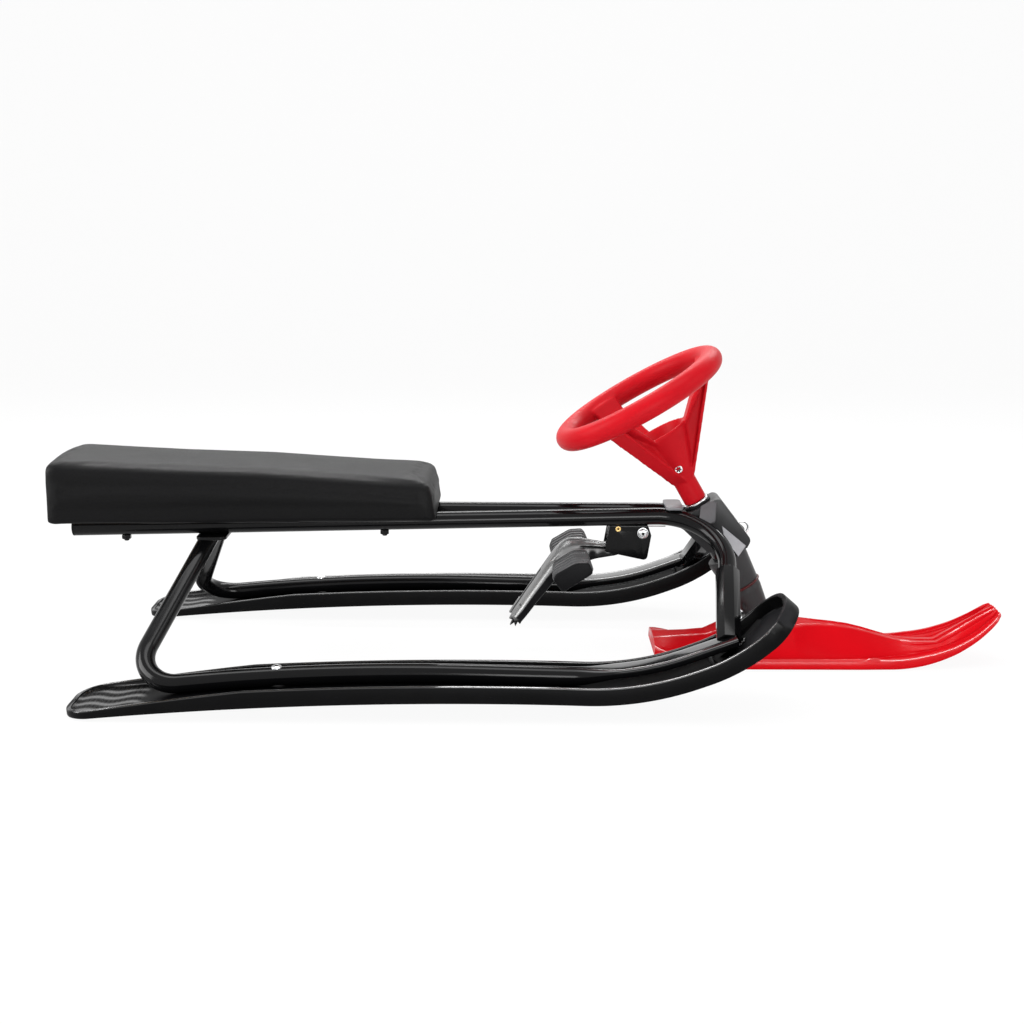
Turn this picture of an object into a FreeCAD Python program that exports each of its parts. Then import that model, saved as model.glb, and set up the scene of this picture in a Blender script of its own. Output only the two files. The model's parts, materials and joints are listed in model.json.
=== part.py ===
"""Steering sled: tube frame on two fixed skis, a steered front ski and a claw brake.

Millimetres. +X is forward, +Y the rider's left, +Z up. The origin is on the ground, below the middle.
Right-hand pieces (Y below zero) are drawn, and their left-hand twins are mirrored from them.
"""
import FreeCAD, Part
import math
import os
from types import SimpleNamespace

from FreeCAD import Placement, Rotation, Vector

DOC = FreeCAD.newDocument("SteeringSled")
SHEET = DOC.addObject("Spreadsheet::Sheet", "Sizes")

SIZES = {
    # Rear skis: the sole is a line through five corners, rounded at the inner three
    "ski_track": 400,
    "ski_width": 100,
    "ski_rear_x": -518,
    "camber_x": -225,
    "camber_z": 27,
    "camber_radius": 4600,
    "toe_x": 120,
    "toe_z": 17.8,
    "toe_radius": 340,
    "shovel_x": 243,
    "shovel_z": 62.4,
    "shovel_radius": 215,
    "tip_x": 292,
    "tip_z": 119,
    "ski_side": 20,
    "ski_tail_side": 7.5,
    "tail_taper_x": -320,
    "ski_rim": 6,
    "floor_tail": 5,
    "deck_lift": 5,
    "floor_toe": 7,
    "deck_corner_x": 237,
    "deck_camber_radius": 2600,
    "deck_shovel_radius": 85,
    "tail_corner": 32,
    "tip_corner": 46,
    # Ski tubes: one bent tube on each ski, whose rear end rises to the frame as a leg
    "ski_tube_dia": 22,
    "tube_wall": 1.5,
    "seat_gap": 0.2,
    "hoop_x": -458,
    "hoop_radius": 42,
    "leg_top_x": -389,
    "leg_top_y": 30,
    "ski_tube_end_x": 230,
    # Main tubes, close together under the rider, rising a little forward and bent out to the posts
    "main_dia": 21,
    "main_z": 179.45,
    "main_tilt": 0.59,
    "main_rear_x": -547,
    "main_rear_y": 53,
    "main_corner_x": 237,
    "main_corner_y": 10,
    "main_corner_radius": 76,
    "plug_depth": 40,
    "end_plug_flange": 2.5,
    "end_plug_length": 14,
    "plug_fit": 0.1,
    # Front posts
    "post_across": 27,
    "post_base_x": 217,
    "post_length": 118,
    "post_cope": 6,
    # Plate under the main tubes that the legs are welded to
    "cross_plate_length": 36,
    "cross_plate_ahead": 6,
    "cross_plate_width": 136,
    "plate_thick": 4,
    # Seat; heights are measured square to the main tubes from their centre lines
    "seat_rear_x": -576.2,
    "seat_front_x": -115,
    "seat_width": 158,
    "seat_lift": -3.5,
    "seat_rear_top": 84,
    "seat_mid_top": 72.2,
    "seat_front_top": 58.7,
    "seat_crown": 4,
    "seat_round": 12,
    "seat_front_rake": 0.13,
    "skirt_room": 5,
    "board_thick": 8,
    "board_margin": 10,
    "board_fit": 0.3,
    "seat_bolt_rear_x": -487,
    "seat_bolt_front_x": -179,
    # Steering axis and wheel; heights on the axis are measured along it from the ground
    "axis_ground_x": 314.3,
    "rake": 30,
    "wheel_height": 374.2,
    "wheel_radius": 98.5,
    "rim_radius": 13.5,
    "spoke_width": 26,
    "hub_rim_radius": 38,
    "hub_rim_height": 330.5,
    "hub_wall": 4.5,
    "column_radius": 14,
    "column_end": 228.5,
    "column_top": 261.5,
    "cross_bolt_height": 277.1,
    "shaft_dia": 16,
    "shaft_fit": 0.05,
    "shaft_low": 69,
    "shaft_top": 291.5,
    # Head
    "head_top": 222.5,
    "head_half_width": 22.5,
    "head_front_top": 26.5,
    "head_front_low": 35.5,
    "head_low": 156.5,
    "head_sheet": 2.5,
    "head_tube_dia": 34,
    "head_bore": 22.1,
    "bush_dia": 22,
    "bush_flange": 3,
    "bush_body": 19,
    "axial_gap": 0.3,
    "washer_thick": 2.4,
    "tow_eye_radius": 7.5,
    "tow_eye_wire": 2.8,
    "tow_eye_height": 170.5,
    "gusset_thick": 3,
    "tie_plate_rear_x": 162,
    "tie_plate_length": 21,
    "tie_plate_width": 52,
    "tie_plate_thick": 2,
    # Front ski and what joins it to the shaft
    "stem_seam": 106.5,
    "stem_top_radius": 25,
    "stem_seam_radius": 21,
    "socket_low_radius": 14,
    "foot_length": 64,
    "foot_width": 42,
    "foot_thick": 5,
    "hump_top": 46,
    "front_tail_x": 150,
    "front_tail_z": 12,
    "front_heel_x": 190,
    "front_heel_radius": 120,
    "front_toe_x": 520,
    "front_toe_radius": 188,
    "front_taper_back": 95,
    "front_tip_x": 577,
    "front_tip_z": 57.5,
    "front_flange": 13,
    "front_tip_thick": 4,
    "front_half_width": 62,
    "front_tip_half": 32,
    # Brake
    "brake_x": 134.5,
    "brake_z": 161,
    "stop_x": 104.4,
    "stop_z": 166,
    "bracket_width": 40,
    "bracket_sheet": 2.5,
    "bracket_top_z": 169.7,
    "lever_width": 30,
    "claw_leg_width": 46,
    "prong_gap": 16,
    "spring_slot": 14,
    "sleeve_dia": 8,
    "brake_bolt_dia": 6,
    "pedal_x": 47.5,
    "pedal_z": 123,
    "pedal_bar_dia": 10,
    "pedal_inner_y": 23.4,
    "pedal_length": 66,
    "pedal_cap": 4,
    "spring_wire": 1.6,
    "spring_radius": 5.2,
    "spring_turns": 4,
    "spring_pitch": 2.4,
    "hook_back": 22,
    "hook_drop": 12,
    # Fasteners
    "bolt_dia": 6,
    "hole_fit": 0.2,
    "pan_head_dia": 12,
    "pan_head_high": 4,
    "ski_bolt_x": -287,
    "ski_screw_x": 196,
}

for row, (alias, value) in enumerate(SIZES.items(), start=1):
    SHEET.set(f"A{row}", alias)
    SHEET.set(f"B{row}", str(value))
    SHEET.setAlias(f"B{row}", alias)
DOC.recompute()
D = SimpleNamespace(**{alias: float(SHEET.get(alias)) for alias in SIZES})

NODES = []
TALL = 600
SKI_Y = D.ski_track / 2
AXIS = Placement(Vector(D.axis_ground_x, 0, 0), Rotation(Vector(0, 1, 0), -D.rake))
ACROSS = Rotation(Vector(0, 0, 1), Vector(0, -1, 0))
LEVEL = Placement(Vector(0, 0, D.main_z), Rotation(Vector(0, 1, 0), -D.main_tilt))


def on_level(x, y, z):
    """A place in the sloping plane of the main tubes' centre lines."""
    return LEVEL.multiply(Placement(Vector(x, y, z), Rotation()))


# Outlines and paths

def bend_edges(corners, closed):
    """Straight runs joined by tangent arcs; corners are (Vector, radius)."""
    count = len(corners)
    joints = []
    for index, (point, radius) in enumerate(corners):
        if radius == 0 or (not closed and index in (0, count - 1)):
            joints.append((point, None, point))
            continue
        arrive = (point - corners[index - 1][0]).normalize()
        leave = (corners[(index + 1) % count][0] - point).normalize()
        half_turn = arrive.getAngle(leave) / 2
        reach = radius * math.tan(half_turn)
        inward = (leave - arrive).normalize()
        middle = point + inward * (radius / math.cos(half_turn) - radius)
        joints.append((point - arrive * reach, middle, point + leave * reach))
    edges = []
    for index, (start, middle, end) in enumerate(joints):
        if middle is not None:
            edges.append(Part.Arc(start, middle, end))
        if closed or index < count - 1:
            following = joints[(index + 1) % count][0]
            if (following - end).Length > 1e-6:
                edges.append(Part.LineSegment(end, following))
    return edges


def flat(*corners):
    """Corners of a flat outline from (x, y) or (x, y, radius)."""
    return [(Vector(corner[0], corner[1], 0), corner[2] if len(corner) > 2 else 0) for corner in corners]


def offset_corners(corners, distance):
    """A flat open line moved to its left, with its arcs kept concentric."""
    shifted = []
    last = len(corners) - 1
    for index, (point, radius) in enumerate(corners):
        before = (point - corners[index - 1][0]).normalize() if index > 0 else None
        after = (corners[index + 1][0] - point).normalize() if index < last else None
        arrive = before or after
        leave = after or before
        normal_in = Vector(-arrive.y, arrive.x, 0)
        normal_out = Vector(-leave.y, leave.x, 0)
        shift = (normal_in + normal_out) * (distance / (1 + normal_in.dot(normal_out)))
        turn = arrive.x * leave.y - arrive.y * leave.x
        shifted.append((point + shift, radius - math.copysign(distance, turn) if radius else 0))
    return shifted


def hold_last_arc(corners):
    """An open flat line whose last run is lengthened where the arc before it needs more room."""
    before = corners[-3][0]
    point, radius = corners[-2]
    run = corners[-1][0] - point
    reach = radius * math.tan((point - before).getAngle(run) / 2)
    return corners[:-1] + [(point + run * max(1, reach / run.Length), 0)]


def on_run(corners, index, x):
    """The point at x on the straight line through corners index and index + 1."""
    start = corners[index][0]
    along = corners[index + 1][0] - start
    return start + along * ((x - start.x) / along.x)


def height_at(corners, x):
    """Height of a rounded flat line at x."""
    line = Part.LineSegment(Vector(x, -TALL, 0), Vector(x, TALL, 0)).toShape()
    path = Part.Wire([edge.toShape() for edge in bend_edges(corners, False)])
    return path.distToShape(line)[1][0][0].y


def band(lower, upper):
    """Closed outline between two open lines that run the same way."""
    back = list(reversed(upper))
    edges = bend_edges(lower, False) + bend_edges(back, False)
    edges.append(Part.LineSegment(lower[-1][0], back[0][0]))
    edges.append(Part.LineSegment(back[-1][0], lower[0][0]))
    return edges


# Document objects

def sketch(body, role, edges):
    plane = next(item for item in body.Origin.OriginFeatures if item.Role == role)
    drawing = body.newObject("Sketcher::SketchObject", body.Name + "_sketch")
    drawing.AttachmentSupport = [(plane, "")]
    drawing.MapMode = "FlatFace"
    drawing.addGeometry(edges, False)
    return drawing


def pad(body, role, edges, length, symmetric=True):
    feature = body.newObject("PartDesign::Pad", body.Name + "_pad")
    feature.Profile = sketch(body, role, edges)
    feature.setExpression("Length", length)
    feature.SideType = "Symmetric" if symmetric else "One side"
    return feature


def pocket(body, role, edges, length):
    DOC.recompute()
    before = body.Shape.Volume
    feature = body.newObject("PartDesign::Pocket", body.Name + "_pocket")
    feature.Profile = sketch(body, role, edges)
    feature.setExpression("Length", length)
    feature.SideType = "Symmetric"
    DOC.recompute()
    if body.Shape.Volume >= before:
        raise ValueError(f"{body.Label}: a pocket cut nothing")
    return feature


def plate(label, role, edges, length, symmetric=True, place=None):
    body = DOC.addObject("PartDesign::Body", label)
    pad(body, role, edges, length, symmetric)
    if place is not None:
        body.Placement = place
    return body


def turned(label, corners, place):
    """A piece turned about its own Z axis from (radius, height, corner radius)."""
    body = DOC.addObject("PartDesign::Body", label)
    drawing = sketch(body, "XZ_Plane", bend_edges(flat(*corners), True))
    spin = body.newObject("PartDesign::Revolution", label + "_turn")
    spin.Profile = drawing
    spin.ReferenceAxis = (drawing, ["V_Axis"])
    spin.Angle = 360
    body.Placement = place
    return body


def cylinder(label, radius, height, place):
    piece = DOC.addObject("Part::Cylinder", label)
    piece.setExpression("Radius", radius)
    piece.setExpression("Height", height)
    piece.Placement = place
    return piece


def drill(label, radius, place):
    """A long drill centred on a place, along its Z axis."""
    down = Placement(Vector(0, 0, -TALL / 2), Rotation())
    return cylinder(label, radius, str(TALL), place.multiply(down))


def hexagon(label, across_flats, height, place):
    piece = DOC.addObject("Part::Prism", label)
    piece.Polygon = 6
    piece.setExpression("Circumradius", f"{across_flats} / sqrt(3)")
    piece.setExpression("Height", height)
    piece.Placement = place
    return piece


def cut(label, base, *tools):
    result = DOC.addObject("Part::Cut", label)
    result.Base = base
    result.Tool = tools[0] if len(tools) == 1 else group(label + "_tools", *tools)
    return result


def fuse(label, *pieces):
    result = DOC.addObject("Part::MultiFuse", label)
    result.Shapes = list(pieces)
    result.Refine = True
    return result


def common(label, *pieces):
    result = DOC.addObject("Part::MultiCommon", label)
    result.Shapes = list(pieces)
    return result


def group(label, *pieces):
    result = DOC.addObject("Part::Compound", label)
    result.Links = list(pieces)
    return result


def mirrored(label, source):
    result = DOC.addObject("Part::Mirroring", label)
    result.Source = source
    result.Normal = Vector(0, 1, 0)
    result.Base = Vector(0, 0, 0)
    return result


def node(piece):
    """Marks a piece as a sub-part that is handed over under its label."""
    NODES.append(piece)
    return piece


def both_sides(name, right):
    """Hands over a right-hand piece and its mirrored twin."""
    right.Label = name + "_right"
    node(right)
    node(mirrored(name + "_left", right))


def swept(label, path, radius):
    """A round bar along a path of tangent lines and arcs."""
    spine = DOC.addObject("Part::Feature", label + "_path")
    spine.Shape = Part.Wire([edge.toShape() for edge in bend_edges(path, False)])
    start = path[0][0]
    ring = DOC.addObject("Part::Circle", label + "_ring")
    ring.setExpression("Radius", radius)
    ring.Placement = Placement(start, Rotation(Vector(0, 0, 1), path[1][0] - start))
    bar = DOC.addObject("Part::Sweep", label)
    bar.Sections = [ring]
    bar.Spine = (spine, [f"Edge{index + 1}" for index in range(len(spine.Shape.Edges))])
    bar.Solid = True
    return bar


# Rear skis

SOLE = flat(
    (D.ski_rear_x, 0),
    (D.camber_x, D.camber_z, D.camber_radius),
    (D.toe_x, D.toe_z, D.toe_radius),
    (D.shovel_x, D.shovel_z, D.shovel_radius),
    (D.tip_x, D.tip_z),
)
RIM = offset_corners(SOLE, D.ski_side)
TOE_DECK = offset_corners(SOLE, D.floor_toe)
DECK_CORNER = on_run(TOE_DECK, 2, D.deck_corner_x)
DECK = [
    (SOLE[0][0] + Vector(0, D.floor_tail, 0), 0),
    (SOLE[1][0] + Vector(0, D.deck_lift, 0), D.deck_camber_radius),
    (TOE_DECK[2][0], TOE_DECK[2][1]),
    (DECK_CORNER, D.deck_shovel_radius),
    (DECK_CORNER + (SOLE[4][0] - SOLE[3][0]) * 2, 0),
]
RAIL = offset_corners(DECK, D.ski_tube_dia / 2 + D.seat_gap)


def rounded_plan(rear, front, half, rear_corner, front_corner):
    return bend_edges(flat((rear, -half, rear_corner), (front, -half, front_corner),
                           (front, half, front_corner), (rear, half, rear_corner)), True)


def rail_place(x, run):
    """Where the centre line of a ski tube passes x, with Z square to the tube."""
    point = on_run(RAIL, run, x) if run else Vector(x, height_at(RAIL, x), 0)
    ahead = Vector(x + 1, height_at(RAIL, x + 1), 0) - Vector(x - 1, height_at(RAIL, x - 1), 0)
    slope = math.degrees(math.atan2(ahead.y, ahead.x))
    return Placement(Vector(point.x, 0, point.y), Rotation(Vector(0, 1, 0), -slope))


SKI_BOLT = rail_place(D.ski_bolt_x, 0)
SKI_SCREW = rail_place(D.ski_screw_x, 2)
NUT_FLANGE_RADIUS = 7.5
NUT_FLANGE = 2.5
NUT_BARREL_RADIUS = 4.5


def sole_depth(place):
    """Distance from the centre line of the ski tube down to the sole."""
    x = place.Base.x
    return (place.Base.z - height_at(SOLE, x)) * math.cos(place.Rotation.Angle)


def nut_reach():
    """How far the barrel of a ski nut stands above the sole, just short of the deck."""
    return sole_depth(SKI_BOLT) - D.ski_tube_dia / 2 - 3 * D.seat_gap


def ski_tip_form(label, inset):
    """A deep block square to the shovel, whose front end has the rounded outline of the tip."""
    run = SOLE[4][0] - SOLE[3][0]
    slope = math.degrees(math.atan2(run.y, run.x))
    place = Placement(Vector(D.tip_x, 0, D.tip_z), Rotation(Vector(0, 1, 0), -slope))
    outline = rounded_plan(-2 * TALL, -inset, D.ski_width / 2 - inset, 0, D.tip_corner - inset)
    return plate(label, "XY_Plane", outline, str(3 * TALL), True, place)


def make_skis():
    edges = band(SOLE, RIM)
    side = plate("ski_side_form", "XZ_Plane", edges, "Sizes.ski_width")
    plan = plate("ski_plan_form", "XY_Plane",
                 rounded_plan(D.ski_rear_x, TALL, D.ski_width / 2, D.tail_corner, 0), str(TALL))
    tip = ski_tip_form("ski_tip_form", 0)
    taper_top = height_at(RIM, D.tail_taper_x)
    taper = plate("ski_tail_wedge", "XZ_Plane", bend_edges(flat(
        (D.ski_rear_x - 1, D.ski_tail_side), (D.tail_taper_x, taper_top),
        (D.tail_taper_x, TALL), (D.ski_rear_x - 1, TALL)), True), "Sizes.ski_width + 2")
    sky = [(Vector(corner.x, TALL, 0), 0) for corner in (DECK[0][0], DECK[-1][0])]
    hollow_side = plate("ski_deck_form", "XZ_Plane", band(DECK, sky), "Sizes.ski_width")
    hollow_plan = plate("ski_deck_plan", "XY_Plane", rounded_plan(
        D.ski_rear_x + D.ski_rim, TALL, D.ski_width / 2 - D.ski_rim, D.tail_corner - D.ski_rim, 0), str(TALL))
    hollow = common("ski_deck_hollow", hollow_side, hollow_plan, ski_tip_form("ski_deck_tip", D.ski_rim))
    blank = common("ski_blank", side, plan, tip)
    tools = [taper, hollow]
    for name, place in (("bolt", SKI_BOLT), ("screw", SKI_SCREW)):
        tools.append(drill(f"ski_{name}_hole", "Sizes.bolt_dia / 2 + Sizes.hole_fit", place))
    for name, place, radius, depth in (
            ("nut", SKI_BOLT, NUT_BARREL_RADIUS, nut_reach() + D.seat_gap),
            ("nut_flange", SKI_BOLT, NUT_FLANGE_RADIUS, NUT_FLANGE),
            ("screw_head", SKI_SCREW, NUT_FLANGE_RADIUS, NUT_FLANGE)):
        low = place.multiply(Placement(Vector(0, 0, -sole_depth(place) - TALL), Rotation()))
        tools.append(cylinder(f"ski_{name}_seat", f"{radius} + Sizes.hole_fit", str(TALL + depth), low))
    ski = blank
    for number, tool in enumerate(tools):
        ski = cut(f"ski_stage_{number}", ski, tool)
    ski.Placement = Placement(Vector(0, -SKI_Y, 0), Rotation())
    both_sides("rear_ski", ski)
    return ski


def make_ski_fasteners():
    """A bolt from above into a flanged nut at the rear, and a screw from below at the front."""
    bolts, nuts, screws = [], [], []
    radius = D.bolt_dia / 2
    tube_top = D.ski_tube_dia / 2
    for side, y in (("right", -SKI_Y), ("left", SKI_Y)):
        shift = Placement(Vector(0, y, 0), Rotation())
        low = -sole_depth(SKI_BOLT)
        bolts.append(turned(f"ski_bolt_{side}", [
            (0, low + NUT_FLANGE), (radius, low + NUT_FLANGE), (radius, tube_top), (D.pan_head_dia / 2, tube_top),
            (D.pan_head_dia / 2, tube_top + D.pan_head_high, 2.5), (0, tube_top + D.pan_head_high)],
            shift.multiply(SKI_BOLT)))
        bore = radius + D.hole_fit / 2
        nuts.append(turned(f"ski_nut_{side}", [
            (bore, low + 0.3), (NUT_FLANGE_RADIUS, low + 0.3), (NUT_FLANGE_RADIUS, low + NUT_FLANGE),
            (NUT_BARREL_RADIUS, low + NUT_FLANGE), (NUT_BARREL_RADIUS, low + nut_reach()),
            (bore, low + nut_reach())],
            shift.multiply(SKI_BOLT)))
        low = -sole_depth(SKI_SCREW)
        screws.append(turned(f"ski_screw_{side}", [
            (0, low + 0.3), (NUT_FLANGE_RADIUS, low + 0.3, 1), (NUT_FLANGE_RADIUS, low + NUT_FLANGE),
            (radius, low + NUT_FLANGE), (radius, 0), (0, 0)],
            shift.multiply(SKI_SCREW)))
    node(group("ski_bolts", *bolts))
    node(group("ski_nuts", *nuts))
    node(group("ski_screws", *screws))


# Tubes of the frame

def to_space(point, y):
    return Vector(point.x, y, point.y)


CROSS_PLATE_LOW = -D.main_dia / 2 - D.plate_thick
MAIN_REAR = on_level(D.main_rear_x, -D.main_rear_y, 0).Base
MAIN_CORNER = on_level(D.main_corner_x, -D.main_corner_y, 0).Base
POST_FOOT = to_space(on_run(RAIL, 2, D.post_base_x), -SKI_Y)
POST_RISE = (MAIN_CORNER - POST_FOOT).normalize()


def make_ski_tubes(ski):
    hoop = to_space(on_run(RAIL, 0, D.hoop_x), -SKI_Y)
    leg_top = on_level(D.leg_top_x, -D.leg_top_y, CROSS_PLATE_LOW).Base
    spare = (leg_top - hoop).normalize() * D.ski_tube_dia * 2
    path = [
        (leg_top + spare, 0),
        (hoop, D.hoop_radius),
        (to_space(RAIL[1][0], -SKI_Y), RAIL[1][1]),
        (to_space(RAIL[2][0], -SKI_Y), RAIL[2][1]),
        (to_space(on_run(RAIL, 2, D.ski_tube_end_x), -SKI_Y), 0),
    ]
    outside = swept("ski_tube_outside", path, "Sizes.ski_tube_dia / 2")
    inside = swept("ski_tube_inside", path, "Sizes.ski_tube_dia / 2 - Sizes.tube_wall")
    above = DOC.addObject("Part::Box", "ski_tube_trim")
    above.Length = above.Width = above.Height = TALL
    above.Placement = on_level(D.leg_top_x - TALL / 2, -TALL / 2, CROSS_PLATE_LOW)
    shift = Placement(Vector(0, -SKI_Y, 0), Rotation())
    bolt_hole = drill("ski_tube_bolt_hole", "Sizes.bolt_dia / 2 + Sizes.hole_fit", shift.multiply(SKI_BOLT))
    screw_hole = cylinder("ski_tube_screw_hole", "Sizes.bolt_dia / 2 + Sizes.hole_fit", "Sizes.ski_tube_dia",
                          shift.multiply(SKI_SCREW).multiply(Placement(Vector(0, 0, -D.ski_tube_dia), Rotation())))
    tube = cut("ski_tube_hollow", outside, inside)
    tube = cut("ski_tube_trimmed", tube, above)
    tube = cut("ski_tube_fitted", tube, ski)
    tube = cut("ski_tube_drilled", tube, bolt_hole, screw_hole)
    both_sides("ski_tube", tube)
    return outside


def main_tube_y(x):
    """How far the main tubes stand from the middle at x, behind their bend."""
    along = (x - D.main_rear_x) / (D.main_corner_x - D.main_rear_x)
    return D.main_rear_y + (D.main_corner_y - D.main_rear_y) * along


def make_main_tubes():
    path = [
        (MAIN_REAR, 0),
        (MAIN_CORNER, D.main_corner_radius),
        (POST_FOOT + POST_RISE * (D.post_length - D.plug_depth), 0),
    ]
    outside = swept("main_tube_outside", path, "Sizes.main_dia / 2")
    inside = swept("main_tube_inside", path, "Sizes.main_dia / 2 - Sizes.tube_wall")
    holes = []
    for name, x in (("rear", D.seat_bolt_rear_x), ("front", D.seat_bolt_front_x)):
        place = on_level(x, -main_tube_y(x), 0)
        holes.append(drill(f"main_tube_{name}_hole", "Sizes.bolt_dia / 2 + Sizes.hole_fit", place))
    tube = cut("main_tube_hollow", outside, inside)
    both_sides("main_tube", cut("main_tube_drilled", tube, *holes))
    back = Rotation(Vector(0, 0, 1), MAIN_REAR - MAIN_CORNER)
    bore = D.main_dia / 2 - D.tube_wall - D.plug_fit
    plug = turned("end_plug_right", [
        (0, -D.end_plug_length), (bore, -D.end_plug_length, 1), (bore, 0), (D.main_dia / 2, 0),
        (D.main_dia / 2, D.end_plug_flange, 1.5), (0, D.end_plug_flange)], Placement(MAIN_REAR, back))
    node(group("tube_end_plugs", plug, mirrored("end_plug_left", plug)))
    return outside, mirrored("main_tube_outside_left", outside)


def make_posts(ski_tube_outside):
    """Eight-sided slanting posts that grip the ends of the main tubes and stand on the ski tubes."""
    place = Placement(POST_FOOT + POST_RISE * D.post_cope, Rotation(Vector(1, 0, 0), Vector(), POST_RISE, "ZXY"))
    post = DOC.addObject("Part::Prism", "post_bar")
    post.Polygon = 8
    post.setExpression("Circumradius", "Sizes.post_across / 2 / cos(22.5)")
    post.setExpression("Height", "Sizes.post_length - Sizes.post_cope")
    post.Placement = place.multiply(Placement(Vector(), Rotation(Vector(0, 0, 1), 22.5)))
    bore = drill("post_bore", "Sizes.main_dia / 2 + Sizes.plug_fit", place)
    hollow = cut("post_hollow", post, bore)
    both_sides("front_post", cut("post_coped", hollow, ski_tube_outside))


def make_cross_plate():
    half_length = D.cross_plate_length / 2
    half_width = D.cross_plate_width / 2
    outline = bend_edges(flat((-half_length, -half_width, 8), (half_length, -half_width, 8),
                              (half_length, half_width, 8), (-half_length, half_width, 8)), True)
    node(plate("rear_cross_plate", "XY_Plane", outline, "Sizes.plate_thick", False,
               on_level(D.leg_top_x + D.cross_plate_ahead, 0, CROSS_PLATE_LOW)))


# Seat

SEAT_LOW = D.main_dia / 2
SEAT_BOLTS = [(x, side * main_tube_y(x)) for x in (D.seat_bolt_rear_x, D.seat_bolt_front_x) for side in (-1, 1)]


def board_outline(grow):
    half = D.seat_width / 2 - D.board_margin + grow
    rear = D.seat_rear_x + D.board_margin - grow
    front = D.seat_front_x - D.board_margin + grow
    return rounded_plan(rear, front, half, D.seat_round, D.seat_round)


def cushion_section(label, x, top, inset, rake):
    """A crowned section across the seat with drawn-in sides; inset draws it in and rake leans it back."""
    half = D.seat_width / 2 - inset
    low = SEAT_LOW + D.seat_lift + inset * 0.35
    top = top - inset
    waist = half - 1.5
    shoulder = top - D.seat_crown - D.seat_round
    bend = D.seat_round * (1 - math.sqrt(0.5))
    rows = [
        (waist, low),
        (half, (low + shoulder) / 2),
        (waist, shoulder),
        (waist - bend, shoulder + D.seat_round - bend),
        (waist - D.seat_round, shoulder + D.seat_round),
        (0, top),
    ]
    points = [on_level(x - rake * (z - low), -y, z).Base for y, z in rows]
    twins = [Vector(point.x, -point.y, point.z) for point in points]
    edges = [
        Part.LineSegment(twins[0], points[0]),
        Part.Arc(points[0], points[1], points[2]),
        Part.Arc(points[2], points[3], points[4]),
        Part.Arc(points[4], points[5], twins[4]),
        Part.Arc(twins[4], twins[3], twins[2]),
        Part.Arc(twins[2], twins[1], twins[0]),
    ]
    section = DOC.addObject("Part::Feature", label)
    section.Shape = Part.Wire([edge.toShape() for edge in edges])
    return section


def make_seat(main_tubes):
    length = D.seat_front_x - D.seat_rear_x
    stations = []
    for share, inset in ((0, 6), (0.15, 3), (0.5, 1), (1, 0)):
        stations.append((D.seat_rear_x + share * D.seat_round, D.seat_rear_top, inset, 0))
    stations.append((D.seat_rear_x + length * 0.3, (D.seat_rear_top + D.seat_mid_top) / 2 - 1, 0, 0))
    stations.append((D.seat_rear_x + length * 0.55, D.seat_mid_top, 0, 0))
    stations.append((D.seat_front_x - length * 0.15, D.seat_front_top + 3, 0, 0))
    for share, inset in ((1, 0), (0.5, 1), (0.15, 3), (0, 6)):
        stations.append((D.seat_front_x - share * D.seat_round, D.seat_front_top, inset, D.seat_front_rake))
    loft = DOC.addObject("Part::Loft", "cushion_form")
    loft.Sections = [cushion_section(f"cushion_section_{number}", *station)
                     for number, station in enumerate(stations)]
    loft.Solid = True
    loft.Ruled = True
    floor = on_level(0, 0, SEAT_LOW)
    recess = plate("cushion_recess", "XY_Plane", board_outline(D.board_fit),
                   "Sizes.board_thick + Sizes.skirt_room", False, on_level(0, 0, SEAT_LOW - D.skirt_room))
    cushion = cut("cushion_hollow", loft, recess)
    for number, tube in enumerate(main_tubes):
        cushion = cut(f"cushion_notched_{number}", cushion, tube)
    cushion.Label = "seat_cushion"
    board = plate("seat_board_blank", "XY_Plane", board_outline(0), "Sizes.board_thick", False, floor)
    holes, seats, bolts, nuts = [], [], [], []
    radius = D.bolt_dia / 2
    board_top = D.board_thick
    head_low = board_top - D.pan_head_high - D.hole_fit
    tail = -D.main_dia - 7
    for number, (x, y) in enumerate(SEAT_BOLTS):
        place = on_level(x, y, SEAT_LOW)
        holes.append(drill(f"seat_board_hole_{number}", "Sizes.bolt_dia / 2 + Sizes.hole_fit", place))
        sunk = place.multiply(Placement(Vector(0, 0, head_low), Rotation()))
        seats.append(cylinder(f"seat_board_seat_{number}", "Sizes.pan_head_dia / 2 + Sizes.hole_fit",
                              "Sizes.board_thick", sunk))
        bolts.append(turned(f"seat_bolt_{number}", [
            (0, tail), (radius, tail, 0.8), (radius, head_low), (D.pan_head_dia / 2, head_low),
            (D.pan_head_dia / 2, head_low + D.pan_head_high, 2), (0, head_low + D.pan_head_high)], place))
        under = place.multiply(Placement(Vector(0, 0, -D.main_dia - 5), Rotation()))
        blank = hexagon(f"seat_nut_blank_{number}", "10", "5", under)
        bore = drill(f"seat_nut_bore_{number}", "Sizes.bolt_dia / 2 + Sizes.hole_fit / 2", under)
        nuts.append(cut(f"seat_nut_{number}", blank, bore))
    drilled = cut("seat_board_drilled", board, *holes)
    node(cut("seat_board", drilled, *seats))
    node(cushion)
    node(group("seat_bolts", *bolts))
    node(group("seat_nuts", *nuts))


# Steering head

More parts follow.
